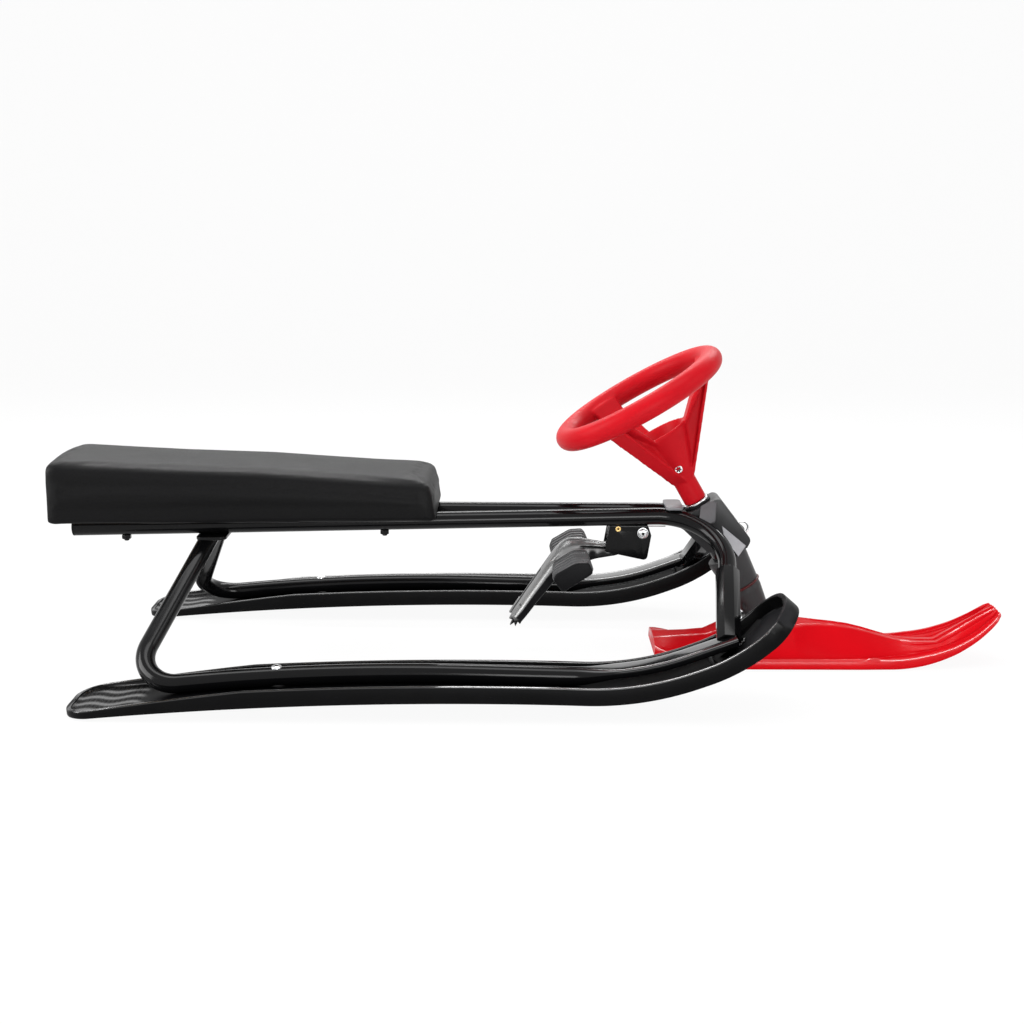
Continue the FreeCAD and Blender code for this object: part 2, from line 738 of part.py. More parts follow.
def make_head(main_tubes):
    inner = D.head_half_width - D.head_sheet
    side = bend_edges(flat(
        (-38, D.head_top), (D.head_front_top, D.head_top, 8), (D.head_front_low, D.head_low, 8),
        (D.head_front_low - 9.5, D.head_low - 6.5, 3), (-18, D.head_low + 12, 6), (-30, D.head_top - 14)), True)
    folded = plate("head_fold", "XZ_Plane", side, "2 * Sizes.head_half_width", True, AXIS)
    sheet = D.head_sheet
    hollow = bend_edges(flat(
        (-TALL / 4, D.head_top - sheet), (D.head_front_top - sheet, D.head_top - sheet, 6),
        (D.head_front_low - sheet, D.head_low, 0), (D.head_front_low - sheet, 0), (-TALL / 4, 0)), True)
    pocket(folded, "XZ_Plane", hollow, f"{2 * inner}")
    bore = drill("head_plate_bore", "Sizes.head_bore / 2", AXIS)
    bracket = cut("head_bored", folded, bore)
    bracket = cut("head_coped", bracket, main_tubes[0])
    node(cut("head_bracket", bracket, main_tubes[1]))

    tube_low = D.head_low - D.bush_flange
    tube_top = D.head_top - sheet
    tube_radius = D.head_tube_dia / 2
    node(turned("head_tube", [
        (D.head_bore / 2, tube_low), (tube_radius, tube_low), (tube_radius, tube_top),
        (D.head_bore / 2, tube_top)], AXIS))
    running = D.shaft_dia / 2 + D.shaft_fit
    upper = D.head_top + D.bush_flange
    node(turned("head_bush_upper", [
        (running, D.head_top - D.bush_body), (D.bush_dia / 2, D.head_top - D.bush_body),
        (D.bush_dia / 2, D.head_top), (tube_radius, D.head_top), (tube_radius, upper, 1), (running, upper)], AXIS))
    lower = tube_low - D.bush_flange
    node(turned("head_bush_lower", [
        (running, lower), (tube_radius, lower, 1), (tube_radius, tube_low), (D.bush_dia / 2, tube_low),
        (D.bush_dia / 2, tube_low + D.bush_body), (running, tube_low + D.bush_body)], AXIS))
    make_gussets(main_tubes[0])
    tie = bend_edges(flat(
        (D.tie_plate_rear_x, -D.tie_plate_width / 2, 6),
        (D.tie_plate_rear_x + D.tie_plate_length, -D.tie_plate_width / 2, 6),
        (D.tie_plate_rear_x + D.tie_plate_length, D.tie_plate_width / 2, 6),
        (D.tie_plate_rear_x, D.tie_plate_width / 2, 6)), True)
    sheet = plate("tie_sheet", "XY_Plane", tie, "Sizes.tie_plate_thick + 1", False, on_level(0, 0, SEAT_LOW - 1))
    sheet = cut("tie_coped", sheet, main_tubes[0])
    node(cut("tie_plate", sheet, main_tubes[1]))
    make_tow_eye()


def make_gussets(main_tube):
    """Sloping plates from the upper edges of the head down onto the bends of the main tubes."""
    start = AXIS.multVec(Vector(10, -D.head_half_width, D.head_top - 3))
    back = AXIS.Rotation.multVec(Vector(-1, 0, 0))
    place = Placement(start, Rotation(back, Vector(0, -1, -1.7), Vector(), "XYZ"))
    outline = bend_edges(flat((8, -4), (-14, -4), (2, 22, 3), (24, 20, 3)), True)
    sheet = plate("gusset_sheet", "XY_Plane", outline, "Sizes.gusset_thick", False, place)
    middle = DOC.addObject("Part::Box", "gusset_trim")
    middle.Length = middle.Height = TALL
    middle.setExpression("Width", "2 * Sizes.head_half_width")
    middle.Placement = Placement(Vector(0, -D.head_half_width, 0), Rotation())
    both_sides("head_gusset", cut("gusset_coped", cut("gusset_trimmed", sheet, middle), main_tube))


def make_tow_eye():
    """A half ring of wire on the front of the head."""
    share = (D.head_top - D.tow_eye_height) / (D.head_top - D.head_low)
    out = D.head_front_top + (D.head_front_low - D.head_front_top) * share
    along = Vector(D.head_front_low - D.head_front_top, 0, D.head_low - D.head_top)
    outward = Vector(-along.z, 0, along.x)
    eye = DOC.addObject("Part::Torus", "tow_eye")
    eye.setExpression("Radius1", "Sizes.tow_eye_radius")
    eye.setExpression("Radius2", "Sizes.tow_eye_wire / 2")
    eye.Angle3 = 180
    seat = Placement(Vector(out, 0, D.tow_eye_height), Rotation(along, outward, Vector(), "XYZ"))
    eye.Placement = AXIS.multiply(seat)
    node(eye)


# Steered pieces

def make_wheel():
    rim = DOC.addObject("Part::Torus", "wheel_rim")
    rim.setExpression("Radius1", "Sizes.wheel_radius")
    rim.setExpression("Radius2", "Sizes.rim_radius")
    rim.Placement = AXIS.multiply(Placement(Vector(0, 0, D.wheel_height), Rotation()))
    cup_floor = D.shaft_top + D.hub_wall
    hub = turned("wheel_hub", [
        (0, D.column_end), (D.column_radius, D.column_end, 1), (D.column_radius, D.column_top),
        (D.hub_rim_radius, D.hub_rim_height, 1.5), (D.hub_rim_radius - D.hub_wall, D.hub_rim_height, 1.5),
        (D.column_radius, cup_floor), (0, cup_floor)], AXIS)
    spokes = []
    rim_low = D.wheel_height - D.rim_radius
    outline = flat(
        (0, D.column_top - 6), (D.column_radius - 5, D.column_top + 5), (D.wheel_radius - 9, rim_low),
        (D.wheel_radius - 2, D.wheel_height), (D.wheel_radius - D.rim_radius, D.wheel_height + 2, 3),
        (D.wheel_radius - D.rim_radius * 2.4, rim_low - 2, 20), (D.hub_rim_radius, D.hub_rim_height, 6),
        (D.hub_rim_radius * 0.4, cup_floor), (0, cup_floor))
    for number in range(3):
        place = AXIS.multiply(Placement(Vector(), Rotation(Vector(0, 0, 1), number * 120)))
        spokes.append(plate(f"wheel_spoke_{number}", "XZ_Plane", bend_edges(outline, True),
                            "Sizes.spoke_width", True, place))
    blank = fuse("wheel_blank", rim, hub, *spokes)
    bore = cylinder("wheel_bore", "Sizes.shaft_dia / 2 + Sizes.plug_fit", str(D.shaft_top - D.column_end + 2),
                    AXIS.multiply(Placement(Vector(0, 0, D.column_end - 1), Rotation())))
    cross = AXIS.multiply(Placement(Vector(0, 0, D.cross_bolt_height), ACROSS))
    hole = drill("wheel_bolt_hole", "Sizes.bolt_dia / 2 + Sizes.hole_fit", cross)
    seats = []
    seat_y = D.column_radius + 3
    for name, turn in (("head", 0), ("nut", 180)):
        flip = Placement(Vector(), Rotation(Vector(1, 0, 0), turn))
        start = cross.multiply(flip).multiply(Placement(Vector(0, 0, seat_y), Rotation()))
        seats.append(cylinder(f"wheel_{name}_seat", "Sizes.pan_head_dia / 2 + 1", "30", start))
    wheel = cut("wheel_bored", blank, bore)
    wheel = cut("wheel_drilled", wheel, hole)
    node(cut("steering_wheel", wheel, *seats))

    radius = D.bolt_dia / 2
    head = D.pan_head_dia / 2
    node(turned("wheel_bolt", [
        (0, -seat_y - 6), (radius, -seat_y - 6, 0.6), (radius, seat_y), (head, seat_y), (head, seat_y + 4, 0.8),
        (2.5, seat_y + 4), (2.5, seat_y + 1.5), (0, seat_y + 1.5)], cross))
    under = cross.multiply(Placement(Vector(0, 0, -seat_y - 5), Rotation()))
    blank = hexagon("wheel_nut_blank", "10", "5", under)
    node(cut("wheel_nut", blank, drill("wheel_nut_bore", "Sizes.bolt_dia / 2 + Sizes.hole_fit / 2", under)))


def make_shaft():
    radius = D.shaft_dia / 2
    bar = turned("shaft_bar", [(0, D.shaft_low), (radius, D.shaft_low, 1), (radius, D.shaft_top, 1),
                               (0, D.shaft_top)], AXIS)
    place = AXIS.multiply(Placement(Vector(0, 0, D.cross_bolt_height), ACROSS))
    node(cut("steering_shaft", bar, drill("shaft_wheel_hole", "Sizes.bolt_dia / 2 + Sizes.hole_fit", place)))
    low = D.head_top + D.bush_flange + D.axial_gap
    node(turned("shaft_washer", [
        (radius + D.plug_fit, low), (D.column_radius + 1.5, low, 0.5),
        (D.column_radius + 1.5, low + D.washer_thick, 0.5), (radius + D.plug_fit, low + D.washer_thick)], AXIS))


def stem_top():
    return D.head_low - 2 * D.bush_flange - D.axial_gap


def make_stem():
    bore = D.shaft_dia / 2 + D.plug_fit
    node(turned("steering_stem", [
        (bore, D.stem_seam), (D.stem_seam_radius, D.stem_seam, 1), (D.stem_top_radius, stem_top() - 6),
        (D.stem_top_radius - 1, stem_top(), 2), (bore, stem_top())], AXIS))
    seam = D.stem_seam - 0.2
    post = turned("socket_post", [
        (0, 0), (D.socket_low_radius, 0), (D.socket_low_radius, D.shaft_low - 8, 4),
        (D.stem_seam_radius - 0.5, seam - 8, 4), (D.stem_seam_radius - 0.5, seam), (bore, seam),
        (bore, D.shaft_low - 1), (0, D.shaft_low - 1)], AXIS)
    below = DOC.addObject("Part::Box", "socket_trim")
    below.Length = below.Width = below.Height = TALL
    below.Placement = Placement(Vector(D.axis_ground_x - TALL / 2, -TALL / 2, D.hump_top - TALL), Rotation())
    foot = plate("socket_foot", "XY_Plane", rounded_plan(
        foot_rear(), foot_rear() + D.foot_length, D.foot_width / 2, 8, 8), "Sizes.foot_thick", False,
        Placement(Vector(0, 0, D.hump_top), Rotation()))
    body = fuse("socket_blank", cut("socket_cut", post, below), foot)
    holes = [drill(f"socket_hole_{number}", "2.5 + Sizes.hole_fit", place)
             for number, place in enumerate(foot_screw_places())]
    node(cut("ski_socket", body, *holes))
    screws = []
    for number, place in enumerate(foot_screw_places()):
        screws.append(turned(f"foot_screw_{number}", [
            (0, -14), (2.5, -14, 1), (2.5, D.foot_thick), (5, D.foot_thick), (5, D.foot_thick + 3, 2),
            (0, D.foot_thick + 3)], place))
    node(group("socket_screws", *screws))


def foot_rear():
    """Rear edge of the socket's foot, which is centred on the axis where it meets the front ski."""
    return D.axis_ground_x - D.hump_top * math.tan(math.radians(D.rake)) - D.foot_length / 2


def foot_screw_places():
    rear = foot_rear()
    return [Placement(Vector(x, y, D.hump_top), Rotation())
            for x in (rear + 7, rear + D.foot_length - 7)
            for y in (7 - D.foot_width / 2, D.foot_width / 2 - 7)]


def make_front_ski():
    sole = hold_last_arc(flat(
        (D.front_tail_x, D.front_tail_z), (D.front_heel_x, 0, D.front_heel_radius),
        (D.front_toe_x, 0, D.front_toe_radius), (D.front_tip_x, D.front_tip_z)))
    top = hold_last_arc(flat(
        (D.front_tail_x, D.front_tail_z + D.front_flange),
        (D.front_heel_x, D.front_flange, D.front_heel_radius - D.front_flange),
        (D.front_toe_x - D.front_flange * 0.6, D.front_flange, D.front_toe_radius - D.front_flange),
        (D.front_tip_x - D.front_tip_thick, D.front_tip_z + D.front_tip_thick)))
    width = "2 * Sizes.front_half_width"
    side = plate("front_side_form", "XZ_Plane", band(sole, top), width)
    wide = D.front_half_width
    tail_half = wide * 0.75
    taper_x = D.front_toe_x - D.front_taper_back
    plan = plate("front_plan_form", "XY_Plane", bend_edges(flat(
        (D.front_tail_x, -tail_half, 18), (D.front_heel_x, -wide, 60), (taper_x, -wide, 160),
        (D.front_tip_x, -D.front_tip_half, 20), (D.front_tip_x, D.front_tip_half, 20),
        (taper_x, wide, 160), (D.front_heel_x, wide, 60), (D.front_tail_x, tail_half, 18)), True),
        str(TALL))
    flange = common("front_flange_form", side, plan)

    foot_front = foot_rear() + D.foot_length
    pad_half = D.foot_width / 2 + 3
    stations = [
        (D.front_tail_x + 4, D.hump_top - 14, 20, tail_half * 0.75),
        (D.front_heel_x + 22, D.hump_top - 14, 18, wide * 0.76),
        (foot_rear() - 4, D.hump_top, pad_half, wide * 0.82),
        (foot_front + 4, D.hump_top, pad_half, wide * 0.82),
        (foot_front + 26, D.hump_top - 3, 13, wide * 0.82),
        (D.front_toe_x - 105, D.hump_top - 10, 11, wide * 0.76),
        (D.front_toe_x - 52, D.front_flange + 7, 10, wide * 0.6),
    ]
    sections = []
    for number, (x, height, top_half, base_half) in enumerate(stations):
        low = height_at(sole, x) + D.front_flange / 2
        shoulder = height_at(sole, x) + D.front_flange + 4
        section = DOC.addObject("Part::Feature", f"hump_section_{number}")
        section.Shape = Part.makePolygon([
            Vector(x, -base_half, low), Vector(x, base_half, low), Vector(x, base_half, shoulder),
            Vector(x, top_half, height), Vector(x, -top_half, height),
            Vector(x, -base_half, shoulder), Vector(x, -base_half, low)])
        sections.append(section)
    hump = DOC.addObject("Part::Loft", "front_hump")
    hump.Sections = sections
    hump.Solid = True
    hump.Ruled = True
    blank = fuse("front_ski_blank", flange, hump)
    holes = []
    for number, place in enumerate(foot_screw_places()):
        deep = place.multiply(Placement(Vector(0, 0, -15), Rotation()))
        holes.append(cylinder(f"front_ski_hole_{number}", "2.5 + Sizes.hole_fit / 2", "30", deep))
    node(cut("front_ski", blank, *holes))


# Brake

def make_brake_bracket():
    top = D.bracket_top_z
    outline = bend_edges(flat(
        (94, top, 3), (141, top, 3), (145, 158, 5), (140, 126.5, 5), (88.5, 137.5, 3)), True)
    folded = plate("brake_fold", "XZ_Plane", outline, "Sizes.bracket_width")
    hollow = bend_edges(flat((60, top - D.bracket_sheet), (180, top - D.bracket_sheet), (180, 100), (60, 100)), True)
    pocket(folded, "XZ_Plane", hollow, "Sizes.bracket_width - 2 * Sizes.bracket_sheet")
    pivot = Placement(Vector(D.brake_x, 0, D.brake_z), ACROSS)
    stop = Placement(Vector(D.stop_x, 0, D.stop_z), ACROSS)
    node(cut("brake_bracket", folded,
             drill("brake_bolt_hole", "Sizes.brake_bolt_dia / 2 + Sizes.plug_fit", pivot),
             drill("brake_stop_hole", "2.1 + Sizes.plug_fit", stop)))
    outside = D.bracket_width / 2
    radius = D.brake_bolt_dia / 2
    washer = 1.4
    node(turned("brake_bolt", [
        (0, -outside - washer - 8), (radius, -outside - washer - 8, 0.8), (radius, outside + washer),
        (6, outside + washer), (6, outside + washer + 4, 2.5), (0, outside + washer + 4)], pivot))
    washers = []
    for name, low in (("head", outside), ("nut", -outside - washer)):
        washers.append(turned(f"brake_washer_{name}", [
            (radius + D.plug_fit, low), (6.8, low), (6.8, low + washer), (radius + D.plug_fit, low + washer)], pivot))
    node(group("brake_washers", *washers))
    under = pivot.multiply(Placement(Vector(0, 0, -outside - washer - 5), Rotation()))
    blank = hexagon("brake_nut_blank", "10", "5", under)
    node(cut("brake_nut", blank, drill("brake_nut_bore", "Sizes.brake_bolt_dia / 2 + Sizes.plug_fit", under)))
    flange = outside + 1.2
    node(turned("stop_rivet", [
        (1.2, -flange), (3.4, -flange, 0.5), (3.4, -outside), (2.1, -outside), (2.1, outside), (3.4, outside),
        (3.4, flange, 0.5), (1.2, flange)], stop))


def hook_place():
    """Where the moving leg of the spring turns down into the lever."""
    return Placement(Vector(D.brake_x - D.hook_back, D.spring_pitch * D.spring_turns / 2, D.brake_z), Rotation())


def make_brake_lever():
    leg = flat((-66, -12, 6), (-92, -11, 14), (-106, -22, 14), (-160, -104, 2), (-163, -110), (-158.5, -110.5),
               (-162, -118.5), (-156.5, -114.5), (-155, -120), (-151.5, -114), (-149, -117.5), (-146, -112, 2),
               (-106, -58, 12), (-98, -52, 4), (-76, -50, 8), (-66, -33, 4))
    root = flat((6, 5.8, 5), (6, -7, 5), (-30, -29, 8), (-50, -31), (-70, -33), (-70, -13), (-46, -20, 6),
                (-40, -13, 3), (-36, 2.6, 3), (-20, 2.6, 5))
    body = DOC.addObject("PartDesign::Body", "lever_blank")
    pad(body, "XZ_Plane", bend_edges(root, True), "Sizes.lever_width")
    pad(body, "XZ_Plane", bend_edges(leg, True), "Sizes.claw_leg_width")
    prongs = bend_edges(flat((-200, -170), (-110, -170), (-110, -95), (-126, -62), (-150, -40), (-200, -40)), True)
    pocket(body, "XZ_Plane", prongs, "Sizes.prong_gap")
    slot = bend_edges(flat((-16.5, -60), (45, -60), (45, 40), (-16.5, 40)), True)
    pocket(body, "XZ_Plane", slot, "Sizes.spring_slot")
    body.Placement = Placement(Vector(D.brake_x, 0, D.brake_z), Rotation())
    pivot = Placement(Vector(D.brake_x, 0, D.brake_z), ACROSS)
    bar = Placement(Vector(D.pedal_x, 0, D.pedal_z), ACROSS)
    node(cut("brake_lever", body,
             drill("lever_pivot_hole", "Sizes.sleeve_dia / 2 + Sizes.plug_fit", pivot),
             drill("lever_bar_hole", "Sizes.pedal_bar_dia / 2 + Sizes.plug_fit", bar),
             drill("lever_hook_hole", "Sizes.spring_wire / 2 + Sizes.hole_fit", hook_place())))
    half = D.bracket_width / 2 - D.bracket_sheet - D.seat_gap
    inside = D.brake_bolt_dia / 2 + D.shaft_fit
    node(turned("brake_sleeve", [
        (inside, -half), (D.sleeve_dia / 2, -half), (D.sleeve_dia / 2, half), (inside, half)], pivot))
    reach = D.pedal_inner_y + D.pedal_length
    node(turned("pedal_bar", [
        (0, -reach), (D.pedal_bar_dia / 2, -reach, 1), (D.pedal_bar_dia / 2, reach, 1), (0, reach)], bar))


def make_pedals():
    section = bend_edges(flat(
        (-23, -3, 4), (-12, -17.5, 4), (23.4, 5.6, 4), (17.8, 18.2, 4), (1.8, 17, 14), (-20.5, 4, 4)), True)
    start = Vector(D.pedal_x, -D.pedal_inner_y, D.pedal_z)
    block = plate("pedal_block", "XZ_Plane", section, "Sizes.pedal_length", False, Placement(start, Rotation()))
    bore = drill("pedal_bore", "Sizes.pedal_bar_dia / 2 + Sizes.plug_fit", Placement(start, ACROSS))
    both_sides("brake_pedal", cut("pedal_bored", block, bore))
    end = start - Vector(0, D.pedal_length, 0)
    both_sides("pedal_cap", plate("pedal_end", "XZ_Plane", section, "Sizes.pedal_cap", False,
                                  Placement(end, Rotation())))


def make_brake_spring():
    """A torsion spring round the sleeve, one leg forward under the tubes and one hooked into the lever."""
    radius = D.spring_radius
    pivot = Vector(D.brake_x, 0, D.brake_z)
    half_turns = int(D.spring_turns * 2)
    start_y = -hook_place().Base.y

    def coil_point(turns):
        angle = turns * 2 * math.pi
        return pivot + Vector(-radius * math.sin(angle), start_y + D.spring_pitch * turns, radius * math.cos(angle))

    edges = []
    first = coil_point(0)
    fixed_end = Vector(D.brake_x + 29, first.y, first.z)
    edges.append(Part.LineSegment(fixed_end, first))
    for number in range(half_turns):
        edges.append(Part.Arc(coil_point(number / 2), coil_point(number / 2 + 0.25), coil_point(number / 2 + 0.5)))
    last = coil_point(D.spring_turns)
    bend = Vector(hook_place().Base.x, last.y, last.z)
    edges += bend_edges([(last, 0), (bend, 2 * D.spring_wire), (bend - Vector(0, 0, D.hook_drop), 0)], False)
    path = Part.Wire([edge.toShape() for edge in edges])
    ring = Part.Wire([Part.Circle(fixed_end, Vector(-1, 0, 0), D.spring_wire / 2).toShape()])
    spring = DOC.addObject("Part::Feature", "brake_spring")
    spring.Shape = path.makePipeShell([ring], True, False)
    node(spring)
    print("brake spring: least gap between turns", round(D.spring_pitch - D.spring_wire, 2))


def export():
    DOC.recompute()
    for item in DOC.Objects:
        if "Invalid" in item.State or "Error" in item.State:
            raise ValueError(f"{item.Label} failed to build: {item.State}")
    for piece in NODES:
        shape = piece.Shape
        if shape.isNull() or not shape.isValid() or not shape.Solids:
            raise ValueError(f"{piece.Label} is not a valid solid")
    os.makedirs("parts", exist_ok=True)
    for piece in NODES:
        piece.Shape.exportStep(f"parts/{piece.Label}.step")
    print(len(NODES), "sub-parts written")


SKI = make_skis()
make_ski_fasteners()
SKI_TUBE = make_ski_tubes(SKI)
MAIN_TUBES = make_main_tubes()
make_posts(SKI_TUBE)
make_cross_plate()
make_seat(MAIN_TUBES)
make_head(MAIN_TUBES)
make_wheel()
make_shaft()
make_stem()
make_front_ski()
make_brake_bracket()
make_brake_lever()
make_pedals()
make_brake_spring()
export()
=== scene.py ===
"""Steering sled: finishes, padded seat, moulded skis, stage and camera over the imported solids.

Shapes are worked out in millimetres in the frame of the solids and turned into metres as meshes are made.
"""

import json
import math

import bmesh
import bpy
from mathutils import Matrix, Vector


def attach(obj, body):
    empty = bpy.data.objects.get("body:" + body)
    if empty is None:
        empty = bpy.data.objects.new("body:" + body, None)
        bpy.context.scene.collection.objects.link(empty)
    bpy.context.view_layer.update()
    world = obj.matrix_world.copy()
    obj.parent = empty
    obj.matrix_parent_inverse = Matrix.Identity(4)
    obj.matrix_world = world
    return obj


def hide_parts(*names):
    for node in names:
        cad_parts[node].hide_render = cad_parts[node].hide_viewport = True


bl_info = {
    "name": "Steering sled",
    "version": (1, 0, 0),
    "blender": (4, 5, 0),
    "location": "3D View > Sidebar > Sled",
    "description": "Builds the visible pieces of a steering sled over its packed solids",
    "category": "Object",
}

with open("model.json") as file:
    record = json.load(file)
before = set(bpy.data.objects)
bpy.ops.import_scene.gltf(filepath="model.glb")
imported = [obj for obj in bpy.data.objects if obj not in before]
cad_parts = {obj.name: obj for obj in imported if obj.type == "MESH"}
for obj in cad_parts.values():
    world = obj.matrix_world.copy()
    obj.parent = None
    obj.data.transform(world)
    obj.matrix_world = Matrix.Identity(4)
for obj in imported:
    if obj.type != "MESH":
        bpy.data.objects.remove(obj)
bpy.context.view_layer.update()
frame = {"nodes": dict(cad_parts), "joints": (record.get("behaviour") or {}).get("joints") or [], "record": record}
RECORD_COLOURS = {item["slot"]: tuple(item["base_color"][:3]) for item in frame["record"]["materials"]}
STEERING = next(joint for joint in frame["joints"] if joint["name"] == "steering_turn")
BRAKE = next(joint for joint in frame["joints"] if joint["name"] == "brake_press")
SLOTS = {part["node"]: part["material_slot"] for part in frame["record"]["subparts"]}
BODIES = {node: body for body, nodes in frame["record"]["behaviour"]["bodies"].items() for node in nodes}
MM = 0.001


# What a user would change

def length(label, text, value):
    return bpy.props.FloatProperty(
        name=label, description=text, default=value * MM, min=0.0, unit="LENGTH", precision=4)


def colour(slot):
    label = slot.replace("_", " ")
    return bpy.props.FloatVectorProperty(
        name=label.capitalize(), description=f"Colour of the {label}", size=3, min=0.0, max=1.0,
        subtype="COLOR", default=RECORD_COLOURS[slot])


class SledSizes(bpy.types.PropertyGroup):
    """Sizes of the visible pieces."""

    main_tube_radius: length("Main tube radius", "Outside radius of the two main tubes", 10.5)
    ski_tube_radius: length("Ski tube radius", "Outside radius of the two ski tubes", 11)
    pressed_thickness: length("Pressed thickness", "Thickness of the pressed front ends of the ski tubes", 11)
    ski_half_width: length("Ski half width", "Half the width of a rear ski", 50)
    ski_side: length("Ski side", "Height of the side of a rear ski", 20)
    ski_rim: length("Ski rim", "Width of the raised rim of a rear ski", 5.5)
    tread_height: length("Tread height", "Height of the ripples on the deck of a rear ski", 0.9)
    wheel_radius: length("Wheel radius", "Radius of the middle of the steering wheel's rim", 98.5)
    rim_radius: length("Rim radius", "Radius of the section of the steering wheel's rim", 13.6)
    seat_swell: length("Seat swell", "How far the cover of the seat may swell", 1.7)
    edge_round: length("Edge round", "Rounding on the edges of pressed and moulded parts", 0.9)
    rib_pitch: length("Rib pitch", "Distance between the ribs of a pedal", 12.5)
    bead: length("Weld bead", "Radius of a weld bead", 1.5)


class SledColours(bpy.types.PropertyGroup):
    """Colours of the finishes, one for each slot of the record."""

    __annotations__ = {slot: colour(slot) for slot in RECORD_COLOURS}


def size(name):
    """A size of the panel, in millimetres."""
    return getattr(bpy.context.scene.sled_sizes, name) / MM


def tint(name, gain=1.0):
    """A colour of the panel with its alpha."""
    return tuple(channel * gain for channel in getattr(bpy.context.scene.sled_colours, name)) + (1.0,)


# Node trees

class Signal:
    """An output of a shader node; arithmetic on it adds Math nodes."""

    def __init__(self, finish, out):
        self.finish = finish
        self.out = out

    def math(self, operation, first, second):
        made = self.finish.add("ShaderNodeMath", {"operation": operation}, {0: first, 1: second})
        return Signal(self.finish, made.outputs[0])

    def __add__(self, other):
        return self.math("ADD", self, other)

    def __radd__(self, other):
        return self.math("ADD", other, self)

    def __sub__(self, other):
        return self.math("SUBTRACT", self, other)

    def __rsub__(self, other):
        return self.math("SUBTRACT", other, self)

    def __mul__(self, other):
        return self.math("MULTIPLY", self, other)

    def __rmul__(self, other):
        return self.math("MULTIPLY", other, self)

    def above(self, low, high):
        """0 below low, 1 above high, smooth between."""
        made = self.finish.add("ShaderNodeMapRange", {"interpolation_type": "SMOOTHSTEP"},
                               {"Value": self, "From Min": low, "From Max": high})
        return Signal(self.finish, made.outputs[0])


def feed(tree, socket, value):
    """Links a signal or an output to a socket, or sets a plain value on it."""
    if isinstance(value, Signal):
        value = value.out
    if isinstance(value, bpy.types.NodeSocket):
        tree.links.new(value, socket)
    else:
        socket.default_value = value


def add_node(tree, kind, settings=None, inputs=None):
    """Adds a node: its settings first, then the values or links of its sockets."""
    made = tree.nodes.new(kind)
    for key, value in (settings or {}).items():
        setattr(made, key, value)
    for key, value in (inputs or {}).items():
        feed(tree, made.inputs[key], value)
    return made


class Finish:
    """A material in the making, with patterns on object coordinates."""

    def __init__(self, name):
        self.material = bpy.data.materials.new(name)
        self.material.use_nodes = True
        self.tree = self.material.node_tree
        self.surface = self.tree.nodes["Principled BSDF"]
        self.place = self.add("ShaderNodeTexCoord").outputs["Object"]

    def add(self, kind, settings=None, inputs=None):
        return add_node(self.tree, kind, settings, inputs)

    def stretched(self, scale):
        """Object coordinates, stretched."""
        return self.add("ShaderNodeMapping", {"vector_type": "POINT"},
                        {"Vector": self.place, "Scale": scale}).outputs[0]

    def noise(self, scale, detail=3.0, roughness=0.5, place=None):
        made = self.add("ShaderNodeTexNoise", {}, {
            "Vector": place or self.place, "Scale": scale, "Detail": detail, "Roughness": roughness})
        return Signal(self, made.outputs[0])

    def cells(self, scale, feature="F1"):
        made = self.add("ShaderNodeTexVoronoi", {"feature": feature}, {"Vector": self.place, "Scale": scale})
        return Signal(self, made.outputs[0])

    def waves(self, **values):
        """Bands along one axis; directions and profiles are settings, the rest are sockets."""
        settings = {key: values.pop(key) for key in ("bands_direction", "wave_profile")}
        sockets = {key.replace("_", " ").title(): value for key, value in values.items()}
        made = self.add("ShaderNodeTexWave", settings, {"Vector": self.place, **sockets})
        return Signal(self, made.outputs["Fac"])

    def mix(self, share, first, second):
        """A colour between two colours."""
        made = self.add("ShaderNodeMix", {"data_type": "RGBA"}, {0: share, 6: first, 7: second})
        return made.outputs[2]

    def marked(self, name):
        """What a mesh marks with an attribute, 0 where it has none."""
        return Signal(self, self.add("ShaderNodeAttribute", {"attribute_name": name}).outputs["Fac"])

    def bump(self, height, strength, distance, under=None):
        """A normal from a height; under is the normal that it lies on."""
        sockets = {"Height": height, "Strength": strength, "Distance": distance * MM}
        if under:
            sockets["Normal"] = under
        return self.add("ShaderNodeBump", {}, sockets).outputs[0]

    def shade(self, **values):
        """Sets the surface: a plain value on its socket, or a link where it changes over the piece."""
        for key, value in values.items():
            label = key.replace("_", " ").title().replace("Ior", "IOR")
            feed(self.tree, self.surface.inputs[label], value)
        return self.material


FINISHES = {}


def finish_of(name):
    """The material for a slot of the record, made on first use."""
    if name not in FINISHES:
        FINISHES[name] = FINISH_MAKERS[name](name)
    return FINISHES[name]


def gloss_paint(name):
    """Stoved gloss paint with a faint orange peel and dust in the open; pressed flats shine more."""
    look = Finish(name)
    dust = look.noise(9, 5, 0.6).above(0.45, 0.8)
    peel = look.noise(420, 2)
    patch = look.noise(35, 3)
    return look.shade(
        base_color=look.mix(dust * 0.5, tint(name, 0.6), tint(name, 1.2)),
        roughness=0.1 + 0.06 * patch + 0.08 * dust,
        normal=look.bump(peel, 0.04, 0.4), specular_ior_level=0.16,
        coat_weight=look.marked("shine"), coat_roughness=0.1)


def satin_paint(name, slot="head_paint", gain=1.0):
    """Satin paint on pressed steel, a little lighter where it is handled."""
    look = Finish(name)
    fleck = look.noise(1500, 2)
    patch = look.noise(28, 4, 0.6)
    return look.shade(
        base_color=look.mix(patch.above(0.3, 0.75), tint(slot, 0.7 * gain), tint(slot, 1.1 * gain)),
        roughness=0.3 + 0.12 * patch,
        normal=look.bump(fleck, 0.09, 0.3), specular_ior_level=0.25)


def bare_panel(name):
    """Head paint nine times lighter on flat pressed faces: a painted highlight."""
    return satin_paint(name, gain=9)


# Head paint nineteen times lighter for the side panels of the head: a painted highlight.
def bright_panel(name):
    return satin_paint(name, gain=19)


# Head paint 4.4 times lighter for the gussets: a painted highlight on their facets.
def grey_facet(name):
    return satin_paint(name, gain=4.4)


# The ring at the seam of the stem is dark red: a painted reflection of the red ski, in shade.
def wine_seam(name):
    return satin_paint(name, "wheel_plastic", 0.11)


